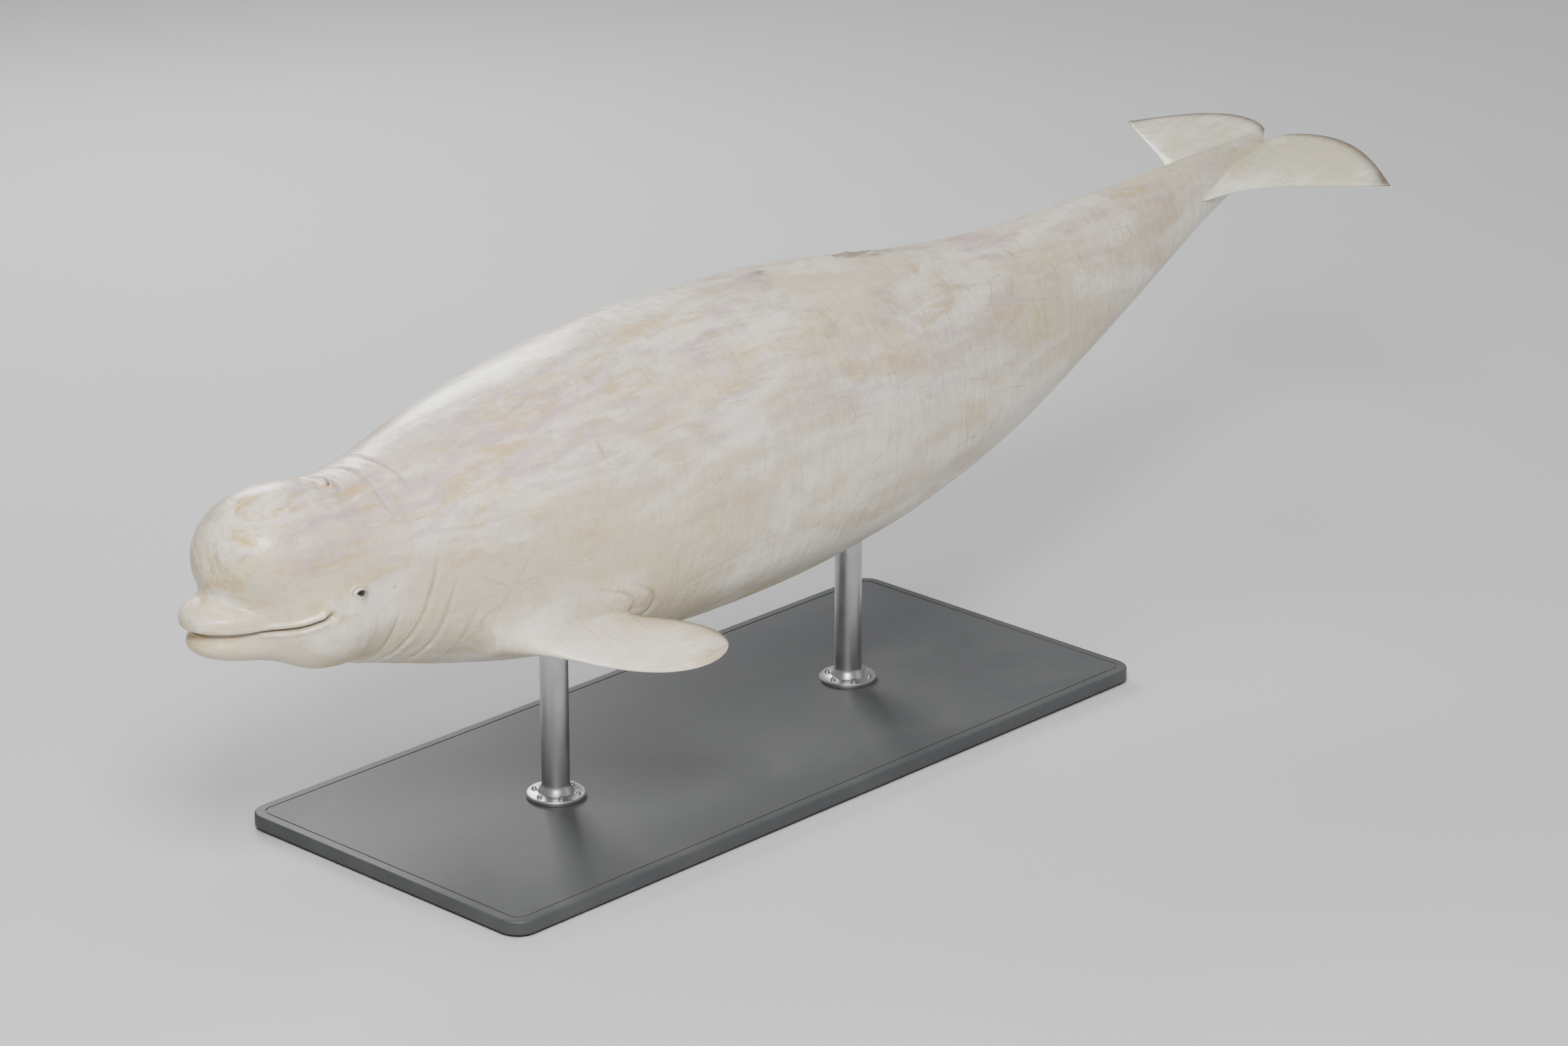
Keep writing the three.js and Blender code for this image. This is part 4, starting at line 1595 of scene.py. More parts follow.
class Value:
    """A shader socket that takes part in Python arithmetic."""

    def __init__(self, paint: "Paint", socket: NodeSocket) -> None:
        """Wraps an output that carries one number."""
        self.paint = paint
        self.socket = socket

    def __add__(self, other: "Value | float") -> "Value":
        """The sum."""
        return self.paint.math("ADD", self, other)

    __radd__ = __add__

    def __mul__(self, other: "Value | float") -> "Value":
        """The product."""
        return self.paint.math("MULTIPLY", self, other)

    __rmul__ = __mul__

    def __sub__(self, other: "Value | float") -> "Value":
        """The difference."""
        return self.paint.math("SUBTRACT", self, other)

    def __rsub__(self, other: "Value | float") -> "Value":
        """A number less this value."""
        return self.paint.math("SUBTRACT", other, self)

    def over(self, low: float, high: float) -> "Value":
        """A soft step.

        Args:
            low: Where the step starts, at 0.
            high: Where it ends, at 1.

        Returns:
            The step.
        """
        inputs = {"Value": self, "From Min": low, "From Max": high}
        node = self.paint.node("ShaderNodeMapRange", {"interpolation_type": "SMOOTHSTEP"}, inputs)
        return Value(self.paint, node.outputs["Result"])


class NodeSheet:
    """A tree of nodes that is being written."""

    def __init__(self, tree: NodeTree) -> None:
        """Starts on a tree."""
        self.tree = tree

    def node(self, kind: str, settings: dict[str, object], inputs: dict[str | int, object]) -> Node:
        """Adds a node.

        Args:
            kind: The node's type.
            settings: Properties of the node, set first.
            inputs: For each socket, by name or number, a value, what it is linked to, or a list of links.

        Returns:
            The node.
        """
        node = self.tree.nodes.new(kind)
        for key, value in settings.items():
            setattr(node, key, value)
        for key, value in inputs.items():
            for each in value if isinstance(value, list) else [value]:
                self._feed(node.inputs[key], each)
        return node

    def _feed(self, socket: NodeSocket, value: object) -> None:
        """Links or sets one socket.

        Args:
            socket: The socket.
            value: A number, a colour, or what it is linked to.
        """
        if isinstance(value, Value):
            value = value.socket
        if isinstance(value, NodeSocket):
            self.tree.links.new(value, socket)
        elif isinstance(value, tuple) and len(value) == 3 and socket.type == "RGBA":
            socket.default_value = (*value, 1.0)
        else:
            socket.default_value = value


class Paint(NodeSheet):
    """One material's nodes."""

    def __init__(self, name: str) -> None:
        """Starts an empty material.

        Args:
            name: The material's name.
        """
        self.material = bpy.data.materials.new(name)
        self.material.use_nodes = True
        super().__init__(self.material.node_tree)
        self.tree.nodes.clear()

    def math(self, operation: str, *values: Value | float) -> Value:
        """A Math node on numbers or values."""
        node = self.node("ShaderNodeMath", {"operation": operation}, dict(enumerate(values)))
        return Value(self, node.outputs[0])

    def mask(self, name: str) -> Value:
        """A number kept on the mesh's points."""
        node = self.node("ShaderNodeAttribute", {"attribute_name": name}, {})
        return Value(self, node.outputs["Fac"])

    def place(self, scale: Triple = (1.0, 1.0, 1.0), turn: Triple = (0.0, 0.0, 0.0)) -> NodeSocket:
        """Object coordinates, turned and stretched.

        Args:
            scale: The stretch along each axis.
            turn: The turn about each axis.

        Returns:
            The coordinates.
        """
        where = self.node("ShaderNodeTexCoord", {}, {})
        turned = self.node("ShaderNodeMapping", {}, {"Vector": where.outputs["Object"], "Rotation": turn})
        laid = self.node("ShaderNodeMapping", {}, {"Vector": turned.outputs["Vector"], "Scale": scale})
        return laid.outputs["Vector"]

    def noise(
        self, where: NodeSocket, scale: float, detail: float = 3.0, rough: float = 0.5, warp: float = 0.0
    ) -> Value:
        """Soft noise about 0.5, with scale features in a metre and detail finer layers."""
        inputs = {"Vector": where, "Scale": scale, "Detail": detail, "Roughness": rough, "Distortion": warp}
        return Value(self, self.node("ShaderNodeTexNoise", {}, inputs).outputs["Fac"])

    def cracks(self, where: NodeSocket, scale: float) -> Value:
        """The distance to the edges between scattered cells."""
        settings, inputs = {"feature": "DISTANCE_TO_EDGE"}, {"Vector": where, "Scale": scale}
        return Value(self, self.node("ShaderNodeTexVoronoi", settings, inputs).outputs["Distance"])

    def mix(self, mask: Value | float, first: object, second: object) -> NodeSocket:
        """A colour between two, by a mask."""
        node = self.node("ShaderNodeMix", {"data_type": "RGBA"}, {0: mask, 6: first, 7: second})
        return node.outputs[2]

    def bump(self, height: Value, distance: float, strength: float, under: object = None) -> NodeSocket:
        """A normal that follows a height.

        Args:
            height: The height, in units of distance.
            distance: How many metres a height of 1 is.
            strength: How much of it is used.
            under: Another bump's normal to build on.

        Returns:
            The normal.
        """
        inputs: dict[str | int, object] = {"Height": height, "Distance": distance, "Strength": strength}
        if under is not None:
            inputs["Normal"] = under
        return self.node("ShaderNodeBump", {}, inputs).outputs["Normal"]

    def finish(self, **inputs: object) -> Material:
        """Ends in a Principled surface.

        Args:
            **inputs: Its sockets, with underscores for spaces.

        Returns:
            The material.
        """
        named = {key.replace("_", " "): value for key, value in inputs.items()}
        shader = self.node("ShaderNodeBsdfPrincipled", {}, named)
        self.node("ShaderNodeOutputMaterial", {}, {"Surface": shader.outputs["BSDF"]})
        return self.material


@dataclass(frozen=True)
class SkinFinish:
    """A white whale's skin: warm ivory, with yellowish patches, a pinkish back and fine marks; the pink on
    the back is partly the skin's own tone and partly a painted reflection of sky light.
    """

    ivory: Rgb = (0.62, 0.535, 0.385)
    pale: Rgb = (0.78, 0.735, 0.64)
    yellow: Rgb = (0.52, 0.375, 0.135)
    pink_skin_and_sky_reflection: Rgb = (0.48, 0.345, 0.38)
    green: Rgb = (0.51, 0.55, 0.375)
    # brown: the fins' dark rear edges and the worn ridge, and also the painted shade in creases
    brown: Rgb = (0.085, 0.055, 0.035)
    scar: Rgb = (0.3, 0.24, 0.21)

    def material(self) -> Material:
        """The skin's material.

        Returns:
            The material.
        """
        p = Paint("white_whale_skin")
        along = p.place((0.5, 1.0, 1.25))
        patches = p.noise(along, 4.2, 5.0, 0.62, 0.4)
        streaks = p.noise(p.place((0.28, 1.0, 1.5)), 24.0, 5.0, 0.65, 0.3)
        mottle = p.noise(p.place((0.7, 1.0, 1.0)), 55.0, 4.0, 0.65)
        back, head, fluke = p.mask("back"), p.mask("head"), p.mask("fluke")
        crease, edge, ridge = p.mask("crease"), p.mask("edge"), p.mask("ridge")
        colour = p.mix(patches.over(0.4, 0.6), self.ivory, self.pale)
        # pink blush, strongest on the back: partly the skin's own pinkish tone, partly a painted reflection
        # of sky light on the back
        pink_tone_and_sky_reflection = p.noise(along, 2.6, 4.0, 0.6, 0.5).over(0.42, 0.58) * (0.3 + 0.7 * streaks.over(0.42, 0.6))
        colour = p.mix(pink_tone_and_sky_reflection * (0.1 + 0.75 * back), colour, self.pink_skin_and_sky_reflection)
        moult = p.noise(p.place((0.45, 1.1, 1.3)), 8.0, 7.0, 0.7, 0.7).over(0.49, 0.62)
        spread = 0.25 + 0.35 * head + 0.4 * back
        colour = p.mix(moult * spread * (0.4 + 0.6 * streaks.over(0.36, 0.6)), colour, self.yellow)
        colour = p.mix(0.6 * fluke * streaks.over(0.35, 0.65), colour, self.green)
        shade = p.noise(p.place((0.4, 1.0, 1.2)), 13.0, 6.0, 0.7, 0.5).over(0.52, 0.66)
        colour = p.mix(0.34 * shade * (0.35 + 0.65 * back), colour, self.scar)
        colour = p.mix(0.2 * mottle.over(0.52, 0.7), colour, self.scar)
        marks = self.scratches(p)
        colour = p.mix(0.42 * marks, colour, self.scar)
        worn = edge * (0.7 + 0.3 * streaks) + 0.62 * ridge.over(0.15, 0.6) * streaks.over(0.43, 0.57)
        colour = p.mix(p.math("MINIMUM", worn, 0.92), colour, self.brown)
        # painted shade: brown darkening in the creases, the mouth line, the lids, the blowhole, the ears'
        # pits and the belly's marks
        colour = p.mix(0.7 * crease, colour, self.brown)
        rough = 0.27 + 0.22 * mottle + 0.12 * moult + 0.15 * crease
        return p.finish(
            Base_Color=colour,
            Roughness=rough,
            Coat_Weight=0.35,
            Coat_Roughness=0.2,
            Subsurface_Weight=0.06,
            Subsurface_Scale=0.02,
            Subsurface_Radius=(1.0, 0.6, 0.4),
            Normal=self.relief(p, marks),
        )

    def scratches(self, p: Paint) -> Value:
        """Thin straight scratches, broken into short lengths, at two slants.

        Args:
            p: The skin's nodes.

        Returns:
            1 on a scratch and 0 elsewhere.
        """
        first = p.cracks(p.place((0.12, 1.0, 1.0), (0.0, 0.1, 0.07)), 7.0)
        second = p.cracks(p.place((0.16, 1.0, 1.0), (0.0, 0.75, 0.4)), 6.0)
        broken = p.noise(p.place(), 5.0, 2.0, 0.5).over(0.56, 0.61)
        rare = p.noise(p.place((1.2, 0.9, 1.1)), 3.7, 2.0, 0.5).over(0.58, 0.64)
        along = (1.0 - first.over(0.003, 0.01)) * broken
        crossing = (1.0 - second.over(0.003, 0.009)) * rare
        return p.math("MAXIMUM", along, crossing) * (1.0 - p.mask("head"))

    def relief(self, p: Paint, marks: Value) -> NodeSocket:
        """Ripples, wrinkles and pores over the shape.

        Args:
            p: The skin's nodes.
            marks: The scratches.

        Returns:
            The bumped normal.
        """
        ripple = p.noise(p.place((2.2, 0.7, 0.7)), 14.0, 3.0, 0.55, 0.3)
        patch = p.noise(p.place(), 9.0, 2.0, 0.5).over(0.42, 0.62)
        wrinkle = p.cracks(p.place((1.0, 0.5, 0.5)), 120.0).over(0.0, 0.16)
        pores = p.noise(p.place(), 340.0, 2.0, 0.6)
        soft = p.bump(ripple, 0.008, 0.65)
        lined = p.bump(wrinkle * (0.3 + 0.7 * patch) - 1.3 * marks, 0.0006, 0.36, soft)
        return p.bump(pores, 0.0006, 0.5, lined)


@dataclass(frozen=True)
class EyeFinish:
    """A dark brown eye, black in the middle, wet."""

    pupil: Rgb = (0.004, 0.004, 0.005)
    iris: Rgb = (0.055, 0.028, 0.014)
    ring: Rgb = (0.018, 0.012, 0.01)
    white: Rgb = (0.11, 0.075, 0.06)

    def material(self) -> Material:
        """The eyes' material.

        Returns:
            The material.
        """
        p = Paint("whale_eye")
        out = p.mask("off_axis")
        fibre = p.noise(p.place(), 900.0, 3.0, 0.6)
        colour = p.mix(fibre.over(0.35, 0.65), self.iris, self.ring)
        colour = p.mix(out.over(0.24, 0.3), self.pupil, colour)
        colour = p.mix(out.over(0.5, 0.58), colour, self.ring)
        colour = p.mix(out.over(0.72, 0.95), colour, self.white)
        return p.finish(
            Base_Color=colour,
            Roughness=0.1 + 0.12 * fibre,
            Coat_Weight=1.0,
            Coat_Roughness=0.03,
            Normal=p.bump(fibre, 0.0002, 0.3),
        )


@dataclass(frozen=True)
class PaintedBaseFinish:
    """Charcoal powder coat with a fine grain, and faint dust on top."""

    charcoal: Rgb = (0.045, 0.048, 0.052)
    dust: Rgb = (0.2, 0.2, 0.2)

    def material(self) -> Material:
        """The base's material.

        Returns:
            The material.
        """
        p = Paint("charcoal_powder_coat")
        grain = p.noise(p.place(), 700.0, 2.0, 0.6)
        cloud = p.noise(p.place((1.0, 1.4, 1.0)), 2.4, 4.0, 0.6, 0.5)
        specks = p.noise(p.place(), 160.0, 2.0, 0.5).over(0.66, 0.74)
        colour = p.mix(0.1 * cloud.over(0.4, 0.7) + 0.1 * specks, self.charcoal, self.dust)
        return p.finish(
            Base_Color=colour,
            Roughness=0.48 + 0.12 * cloud + 0.08 * grain,
            Coat_Weight=0.08,
            Coat_Roughness=0.35,
            Normal=p.bump(grain, 0.0003, 0.35),
        )


@dataclass(frozen=True)
class BrushedSteelFinish:
    """Stainless steel, brushed round each rod."""

    steel: Rgb = (0.56, 0.565, 0.57)
    shade: Rgb = (0.38, 0.385, 0.39)

    def material(self) -> Material:
        """The rods' material.

        Returns:
            The material.
        """
        p = Paint("brushed_steel")
        brush = p.noise(p.place((0.35, 0.35, 30.0)), 42.0, 3.0, 0.65)
        smear = p.noise(p.place(), 9.0, 3.0, 0.55, 0.4)
        return p.finish(
            Base_Color=p.mix(0.7 * brush, self.steel, self.shade),
            Metallic=1.0,
            Roughness=0.24 + 0.14 * brush + 0.1 * smear.over(0.45, 0.7),
            Normal=p.bump(brush, 0.0001, 0.3),
        )


@dataclass(frozen=True)
class RubberFinish:
    """Soft dark rubber."""

    black: Rgb = (0.022, 0.022, 0.024)
    grey: Rgb = (0.06, 0.06, 0.062)

    def material(self) -> Material:
        """The collars' material.

        Returns:
            The material.
        """
        p = Paint("soft_rubber")
        bloom = p.noise(p.place(), 60.0, 4.0, 0.6)
        return p.finish(
            Base_Color=p.mix(bloom.over(0.4, 0.7), self.black, self.grey),
            Roughness=0.62 + 0.15 * bloom,
            Normal=p.bump(p.noise(p.place(), 500.0), 0.0002, 0.3),
        )


@dataclass(frozen=True)
class FloorFinish:
    """A plain pale matt floor."""

    pale: Rgb = (0.52, 0.525, 0.53)
    paler: Rgb = (0.56, 0.565, 0.57)

    def material(self) -> Material:
        """The floor's material.

        Returns:
            The material.
        """
        p = Paint("pale_floor")
        cloud = p.noise(p.place(), 0.8, 3.0, 0.5)
        return p.finish(Base_Color=p.mix(cloud, self.pale, self.paler), Roughness=0.7 + 0.08 * cloud)


def dress(obj: Object, material: Material) -> None:
    """Gives an object one material."""
    obj.data.materials.clear()
    obj.data.materials.append(material)


def lathe(name: str, profile: Sequence[tuple[float, float]], sides: int, at: tuple[float, float]) -> Object:
    """Turns a profile round an upright axis.

    Args:
        name: The object's name.
        profile: Radii and heights from the bottom pole to the top pole, both on the axis.
        sides: How many sides the turning has.
        at: Where the axis stands.

    Returns:
        A closed object.
    """
    angle = np.linspace(0.0, 2.0 * np.pi, sides, endpoint=False)
    rings = []
    for radius, height in profile:
        if radius == 0.0:
            rings.append(np.array([[at[0], at[1], height]]))
            continue
        ring = [at[0] + radius * np.cos(angle), at[1] + radius * np.sin(angle), np.full(sides, height)]
        rings.append(np.stack(ring, axis=1))
    obj = loft(name, rings)
    obj.data.shade_smooth()
    return obj


def keep_sharp(obj: Object, degrees: float = 32.0) -> None:
    """Shades an object smooth except over edges sharper than an angle."""
    obj.data.shade_smooth()
    obj.data.set_sharp_from_angle(angle=math.radians(degrees))


@dataclass
class EyeBall:
    """One glossy ball, with its cornea a little proud."""

    eye: Eye
    spine: Spine
    rings: int = 40
    sides: int = 56
    cornea: float = 0.0011

    def build(self, finish: Material) -> Object:
        """Makes the ball in the socket.

        Args:
            finish: The eyes' finish.

        Returns:
            The ball.
        """
        lean = np.linspace(0.0, np.pi, self.rings + 1)
        angle = np.linspace(0.0, 2.0 * np.pi, self.sides, endpoint=False)
        rings, off_axis = [], []
        for i, tilt in enumerate(lean):
            proud = self.cornea * bell(np.array(tilt / 0.62)) if tilt < 2.0 else 0.0
            radius = self.eye.radius - 0.0004 + proud
            turns = angle if 0 < i < self.rings else angle[:1]
            flat = np.outer(np.cos(turns), self.eye.across) + np.outer(np.sin(turns), self.eye.up)
            rings.append(self.eye.centre + radius * (math.cos(tilt) * self.eye.out + math.sin(tilt) * flat))
            off_axis += [tilt / (np.pi / 2.0)] * len(turns)
        ball = loft(f"eye_ball_{self.eye.side.name.lower()}", [self.spine.bend(r) for r in rings])
        keep_values(ball, "off_axis", np.array(off_axis))
        ball.data.shade_smooth()
        dress(ball, finish)
        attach(ball, "root")
        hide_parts(f"eye_{self.eye.side.name.lower()}")
        return ball


@dataclass
class Whale:
    """The whale: its skin in one piece, and its eyes."""

    form: WhaleForm = field(default_factory=WhaleForm)
    spine: Spine = field(default_factory=Spine)

    def __post_init__(self) -> None:
        """Finds the places of the eyes."""
        self.eyes = [Eye(self.form, side) for side in Side]

    def details(self) -> list[SkinDetail]:
        """Every small thing on the skin.

        Returns:
            The details.
        """
        form = self.form
        ears = [Ear(form, side) for side in Side]
        folds = [NeckFolds(form=form), ShoulderFolds(form=form), Blubber(form), BellyMarks(form)]
        return [Mouth(form), Blowhole(), *self.eyes, *ears, *folds]

    def build(self) -> list[Object]:
        """Makes the skin and the eyes and dresses them.

        Returns:
            The skin and the two eyes.
        """
        skin = SkinMesh(self.form, self.eyes, self.details(), self.spine).build()
        dress(skin, SkinFinish().material())
        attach(skin, "root")
        fins = ["flipper_left", "flipper_right", "fluke_left", "fluke_right"]
        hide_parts("head", "lower_jaw", "neck", "torso", "tail_stock", *fins)
        wet = EyeFinish().material()
        return [skin, *(EyeBall(eye, self.spine).build(wet) for eye in self.eyes)]

    def belly_over(self, x: float, y: float) -> float:
        """The height of the belly over a place on the floor, in the pose.

        Args:
            x: The place along the floor.
            y: The place across it.

        Returns:
            The height.
        """
        inside = self.form.torso.trunk.inner_point(x + BODY_MIDDLE, y)
        low = cast_rays(self.form.torso.distance, inside, np.array([[0.0, 0.0, -1.0]]))
        return float(self.spine.bend(low)[0, 2])


@dataclass
class BoltCircle:
    """Cap screws with washers, spaced evenly round a circle."""

    screws: int = 6
    circle: float = 0.0605
    head: float = 0.0066
    tall: float = 0.006

    def tree(self, material: Material) -> NodeTree:
        """The nodes that lay one screw round the circle.

        Args:
            material: The screws' finish.

        Returns:
            A geometry node group with named sizes.
        """
        group = bpy.data.node_groups.new("bolt_circle", "GeometryNodeTree")
        face, sheet = group.interface, NodeSheet(group)
        face.new_socket("Geometry", in_out="INPUT", socket_type="NodeSocketGeometry")
        for name, kind in (("Screws", "Int"), ("Circle", "Float"), ("Head", "Float"), ("Tall", "Float")):
            face.new_socket(name, in_out="INPUT", socket_type=f"NodeSocket{kind}")
        face.new_socket("Geometry", in_out="OUTPUT", socket_type="NodeSocketGeometry")
        sizes = sheet.node("NodeGroupInput", {}, {}).outputs
        head, tall = sizes["Head"], sizes["Tall"]

        def scaled(size: NodeSocket, factor: float) -> NodeSocket:
            """A size times a number."""
            return sheet.node("ShaderNodeMath", {"operation": "MULTIPLY"}, {0: size, 1: factor}).outputs[0]

        def disc(sides: int, radius: float, depth: float, height: float) -> NodeSocket:
            """A closed cylinder.

            Args:
                sides: How many sides it has.
                radius: Its radius, in radii of the screw's head.
                depth: Its length, in heights of the head.
                height: The height of its middle, in heights of the head.

            Returns:
                The mesh.
            """
            sized = {"Vertices": sides, "Radius": scaled(head, radius), "Depth": scaled(tall, depth)}
            barrel = sheet.node("GeometryNodeMeshCylinder", {}, sized).outputs["Mesh"]
            lift = sheet.node("ShaderNodeCombineXYZ", {}, {"Z": scaled(tall, height)}).outputs["Vector"]
            moved = sheet.node("GeometryNodeTransform", {}, {"Geometry": barrel, "Translation": lift})
            return moved.outputs["Geometry"]

        body, rim, socket = disc(28, 1.0, 1.0, 0.62), disc(28, 0.88, 0.2, 1.2), disc(6, 0.5, 1.0, 1.16)
        washer = disc(32, 1.42, 0.3, 0.15)
        joined = sheet.node("GeometryNodeMeshBoolean", {"operation": "UNION"}, {"Mesh 2": [body, rim]})
        taken = {"Mesh 1": joined.outputs["Mesh"], "Mesh 2": socket}
        cut = sheet.node("GeometryNodeMeshBoolean", {"operation": "DIFFERENCE"}, taken)
        screw = sheet.node("GeometryNodeJoinGeometry", {}, {"Geometry": [cut.outputs["Mesh"], washer]})
        sized = {"Vertices": sizes["Screws"], "Radius": sizes["Circle"]}
        ring = sheet.node("GeometryNodeMeshCircle", {}, sized)
        placed = {"Points": ring.outputs["Mesh"], "Instance": screw.outputs["Geometry"]}
        laid = sheet.node("GeometryNodeInstanceOnPoints", {}, placed).outputs["Instances"]
        real = sheet.node("GeometryNodeRealizeInstances", {}, {"Geometry": laid}).outputs["Geometry"]
        painted = sheet.node("GeometryNodeSetMaterial", {}, {"Geometry": real, "Material": material})
        sheet.node("NodeGroupOutput", {}, {"Geometry": painted.outputs["Geometry"]})
        return group

    def build(self, name: str, at: Triple, tree: NodeTree) -> Object:
        """Makes one ring of screws.

        Args:
            name: The object's name.
            at: The middle of the circle, on the surface that the screws hold.
            tree: The nodes from tree().

        Returns:
            A plain mesh object at the origin.
        """
        obj = new_object(name, np.zeros((1, 3)), [])
        laid = obj.modifiers.new("laid", "NODES")
        laid.node_group = tree
        values = {"Screws": self.screws, "Circle": self.circle, "Head": self.head, "Tall": self.tall}
        for item in tree.interface.items_tree:
            if item.in_out == "INPUT" and item.name in values:
                laid[item.identifier] = values[item.name]
        bpy.context.view_layer.update()
        bake(obj)
        obj.data.transform(Matrix.Translation(at))
        keep_sharp(obj)
        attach(obj, "root")
        return obj


@dataclass
class Stand:
    """A flat base with two upright rods that carry the whale."""

    whale: Whale
    length: float = 2.4
    width: float = 1.04
    thick: float = 0.045
    corner: float = 0.06
    ease: float = 0.006
    radius: float = 0.038
    rise_in: float = 0.03  # how far a rod runs up into the belly
    foot: float = 0.08
    flange_top: float = 0.0132
    collar_half: float = 0.0062
    collar_tall: float = 0.0095
    front: float = part(0.29)
    rear: float = part(0.56)
    sides: int = 96

    def outline(self, inset: float, height: float) -> Array:
        """The base's rounded outline, drawn in by an inset, at a height.

        Args:
            inset: How far it is drawn in.
            height: Its height.

        Returns:
            The points of the outline.
        """
        radius = max(self.corner - inset, 0.004)
        x, y = self.length / 2.0 - inset - radius, self.width / 2.0 - inset - radius
        quarter = np.linspace(0.0, np.pi / 2.0, 17)
        points = []
        for i, (cx, cy) in enumerate(((x, y), (-x, y), (-x, -y), (x, -y))):
            turn = quarter + i * np.pi / 2.0
            points.append(np.stack([cx + radius * np.cos(turn), cy + radius * np.sin(turn)], axis=1))
        flat = np.concatenate(points)
        return np.column_stack([flat, np.full(len(flat), height)])

    def base(self) -> Object:
        """The slab: a shadow gap at the floor, an eased top edge and a fine groove round the top.

        Returns:
            The slab.
        """
        ease, top, dip = self.ease, self.thick, self.thick - 0.002
        turns = np.linspace(np.pi / 2.0, 0.0, 6)
        turned = [(ease * (1.0 - math.sin(a)), top - ease * (1.0 - math.cos(a))) for a in turns]
        groove = [(0.028, top), (0.0285, dip), (0.0315, dip), (0.032, top)]
        foot = [(0.012, 0.0), (0.012, 0.0085), (0.0015, 0.0085), (0.0, 0.01)]
        profile = foot + turned + groove
        rings = [self.outline(inset, height) for inset, height in profile]
        around, total = len(rings[0]), len(rings) * len(rings[0])
        caps = [tuple(range(around))[::-1], tuple(range(total - around, total))]
        slab = new_object("stand_slab", np.concatenate(rings), grid_faces(len(rings), around, False) + caps)
        keep_sharp(slab, 28.0)
        dress(slab, PaintedBaseFinish().material())
        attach(slab, "root")
        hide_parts("stand_base")
        return slab

    def rod(self, name: str, node: str, x: float, steel: Material) -> Object:
        """One rod with its turned flange, up into the belly.

        Args:
            name: The object's name.
            node: The solid that it stands for.
            x: Where it stands.
            steel: Its finish.

        Returns:
            The rod.
        """
        low, foot, radius = self.thick, self.foot, self.radius
        top = self.whale.belly_over(x, 0.0) + self.rise_in
        flange = [
            (0.0, 0.0), (foot - 0.002, 0.0), (foot, 0.002), (foot, 0.0095), (foot - 0.0035, 0.013),
            (0.0505, 0.0138), (0.048, 0.0152), (0.0462, 0.0195), (0.0425, 0.0265), (0.0398, 0.0315),
            (radius, 0.036), (radius, 0.04),
        ]
        shaft = [(radius, h) for h in np.linspace(low + 0.06, top, 14)]
        rod = lathe(name, [*((r, low + h) for r, h in flange), *shaft, (0.0, top)], self.sides, (x, 0.0))
        keep_sharp(rod, 30.0)
        dress(rod, steel)
        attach(rod, "root")
        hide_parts(node)
        return rod

    def collar(self, name: str, x: float, rubber: Material) -> Object:
        """A soft ring that follows the belly round the rod's top.

        Args:
            name: The object's name.
            x: Where it stands.
            rubber: Its finish.

        Returns:
            The collar.
        """
        rows, around = 96, 16
        turn = np.linspace(0.0, 2.0 * np.pi, around, endpoint=False)
        rings = []
        for angle in np.linspace(0.0, 2.0 * np.pi, rows, endpoint=False):
            out = np.array([math.cos(angle), math.sin(angle), 0.0])
            middle = np.array([x, 0.0, 0.0]) + out * (self.radius + 0.0045)
            middle[2] = self.whale.belly_over(middle[0], middle[1]) + 0.001
            across = np.outer(np.cos(turn) * self.collar_half, out)
            rings.append(middle + across + np.outer(np.sin(turn) * self.collar_tall, (0.0, 0.0, 1.0)))
        ring = face_out(new_object(name, np.concatenate(rings), grid_faces(rows, around, True)))
        ring.data.shade_smooth()
        dress(ring, rubber)
        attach(ring, "root")
        return ring

    def build(self) -> list[Object]:
        """Makes the slab, the rods, their collars and their screws.

        Returns:
            The pieces.
        """
        made = [self.base()]
        steel, rubber = BrushedSteelFinish().material(), RubberFinish().material()
        bolts = BoltCircle()
        tree = bolts.tree(steel)
        for end, place in (("front", self.front), ("rear", self.rear)):
            x = place - BODY_MIDDLE
            made.append(self.rod(f"rod_{end}", f"stand_rod_{end}", x, steel))
            made.append(self.collar(f"collar_{end}", x, rubber))
            made.append(bolts.build(f"screws_{end}", (x, 0.0, self.thick + self.flange_top), tree))
        return made


def put(name: str, data: ID, at: Sequence[float] = (0.0, 0.0, 0.0)) -> Object:
    """Puts a light or a camera in the scene.

    Args:
        name: Its name.
        data: The light or camera.
        at: Where it stands.

    Returns:
        The new object.
    """
    obj = bpy.data.objects.new(name, data)
    obj.location = at
    bpy.context.scene.collection.objects.link(obj)
    return obj


def aim(obj: Object, target: Sequence[float]) -> None:
    """Turns a light or a camera to face a point."""
    obj.rotation_euler = (Vector(target) - obj.location).to_track_quat("-Z", "Y").to_euler()


@dataclass(frozen=True)
class Lamp:
    """A square soft light that faces the whale: its place, side, power in watts and colour."""

    name: str
    at: Triple
    size: float
    power: float
    tint: Rgb

    def hang(self) -> None:
        """Hangs the light."""
        lamp = bpy.data.lights.new(self.name, "AREA")
        lamp.shape, lamp.size, lamp.energy, lamp.color = "SQUARE", self.size, self.power, self.tint
        aim(put(self.name, lamp, self.at), (0.0, 0.0, 0.8))


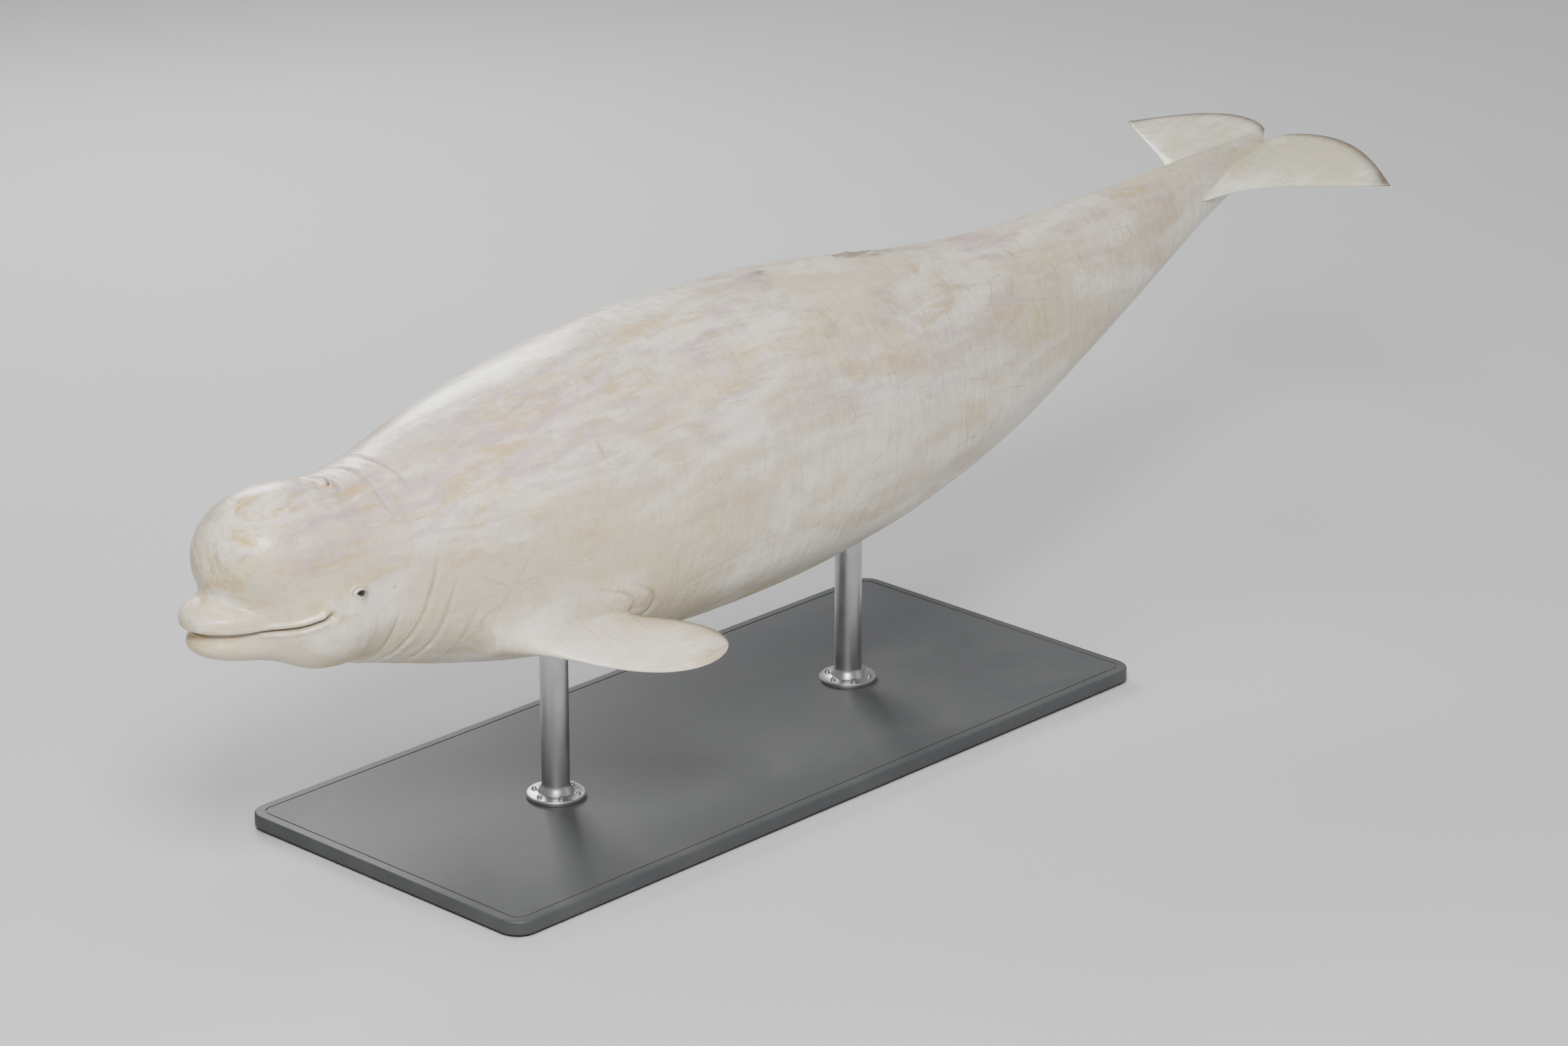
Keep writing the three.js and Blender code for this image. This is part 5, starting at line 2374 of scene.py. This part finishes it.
@dataclass
class Studio:
    """The floor, the lights and the camera."""

    lamps: tuple[Lamp, ...] = (
        Lamp("key", (-4.2, -4.0, 5.6), 2.0, 700.0, (1.0, 0.98, 0.945)),
        Lamp("fill", (5.5, -7.0, 3.2), 4.5, 30.0, (0.93, 0.965, 1.0)),
        Lamp("rim", (3.0, 6.5, 4.5), 3.0, 380.0, (1.0, 1.0, 1.0)),
    )
    sky_power: float = 1.2
    sky_spread: float = math.radians(50.0)
    air_tint: Rgb = (0.88, 0.9, 0.92)
    air_power: float = 0.4
    eye_point: Triple = (-8.813, -8.69, 5.248)
    target: Triple = (0.268, -0.038, 0.6)
    lens: float = 113.0

    def floor(self) -> None:
        """Lays a wide pale floor."""
        angle = np.linspace(0.0, 2.0 * np.pi, 96, endpoint=False)
        rings = [np.array([[0.0, 0.0, 0.0]])]
        for radius in (4.0, 12.0, 60.0):
            rings.append(np.stack([radius * np.cos(angle), radius * np.sin(angle), 0.0 * angle], axis=1))
        floor = new_object("floor", np.concatenate(rings), loft_faces(rings))
        floor.data.shade_smooth()
        dress(floor, FloorFinish().material())

    def build(self) -> None:
        """Sets the stage."""
        self.floor()
        for lamp in self.lamps:
            lamp.hang()
        sky = bpy.data.lights.new("sky", "SUN")
        sky.energy, sky.angle, sky.color = self.sky_power, self.sky_spread, (1.0, 1.0, 1.0)
        put("sky", sky)
        world = bpy.data.worlds.new("studio_air")
        world.use_nodes = True
        air = world.node_tree.nodes["Background"].inputs
        air["Color"].default_value = (*self.air_tint, 1.0)
        air["Strength"].default_value = self.air_power
        bpy.context.scene.world = world
        lens = bpy.data.cameras.new("photo_view")
        lens.lens, lens.sensor_width, lens.clip_end = self.lens, 36.0, 200.0
        camera = put("photo_view", lens, self.eye_point)
        aim(camera, self.target)
        bpy.context.scene.camera = camera


def main() -> None:
    """Builds the studio, the whale and its stand."""
    logging.basicConfig(level=logging.INFO, format="%(name)s: %(message)s")
    Studio().build()
    whale = Whale()
    pieces = whale.build() + Stand(whale).build()
    for piece in pieces:
        log.info("%s: %d faces", piece.name, len(piece.data.polygons))


if __name__ == "__main__":
    main()
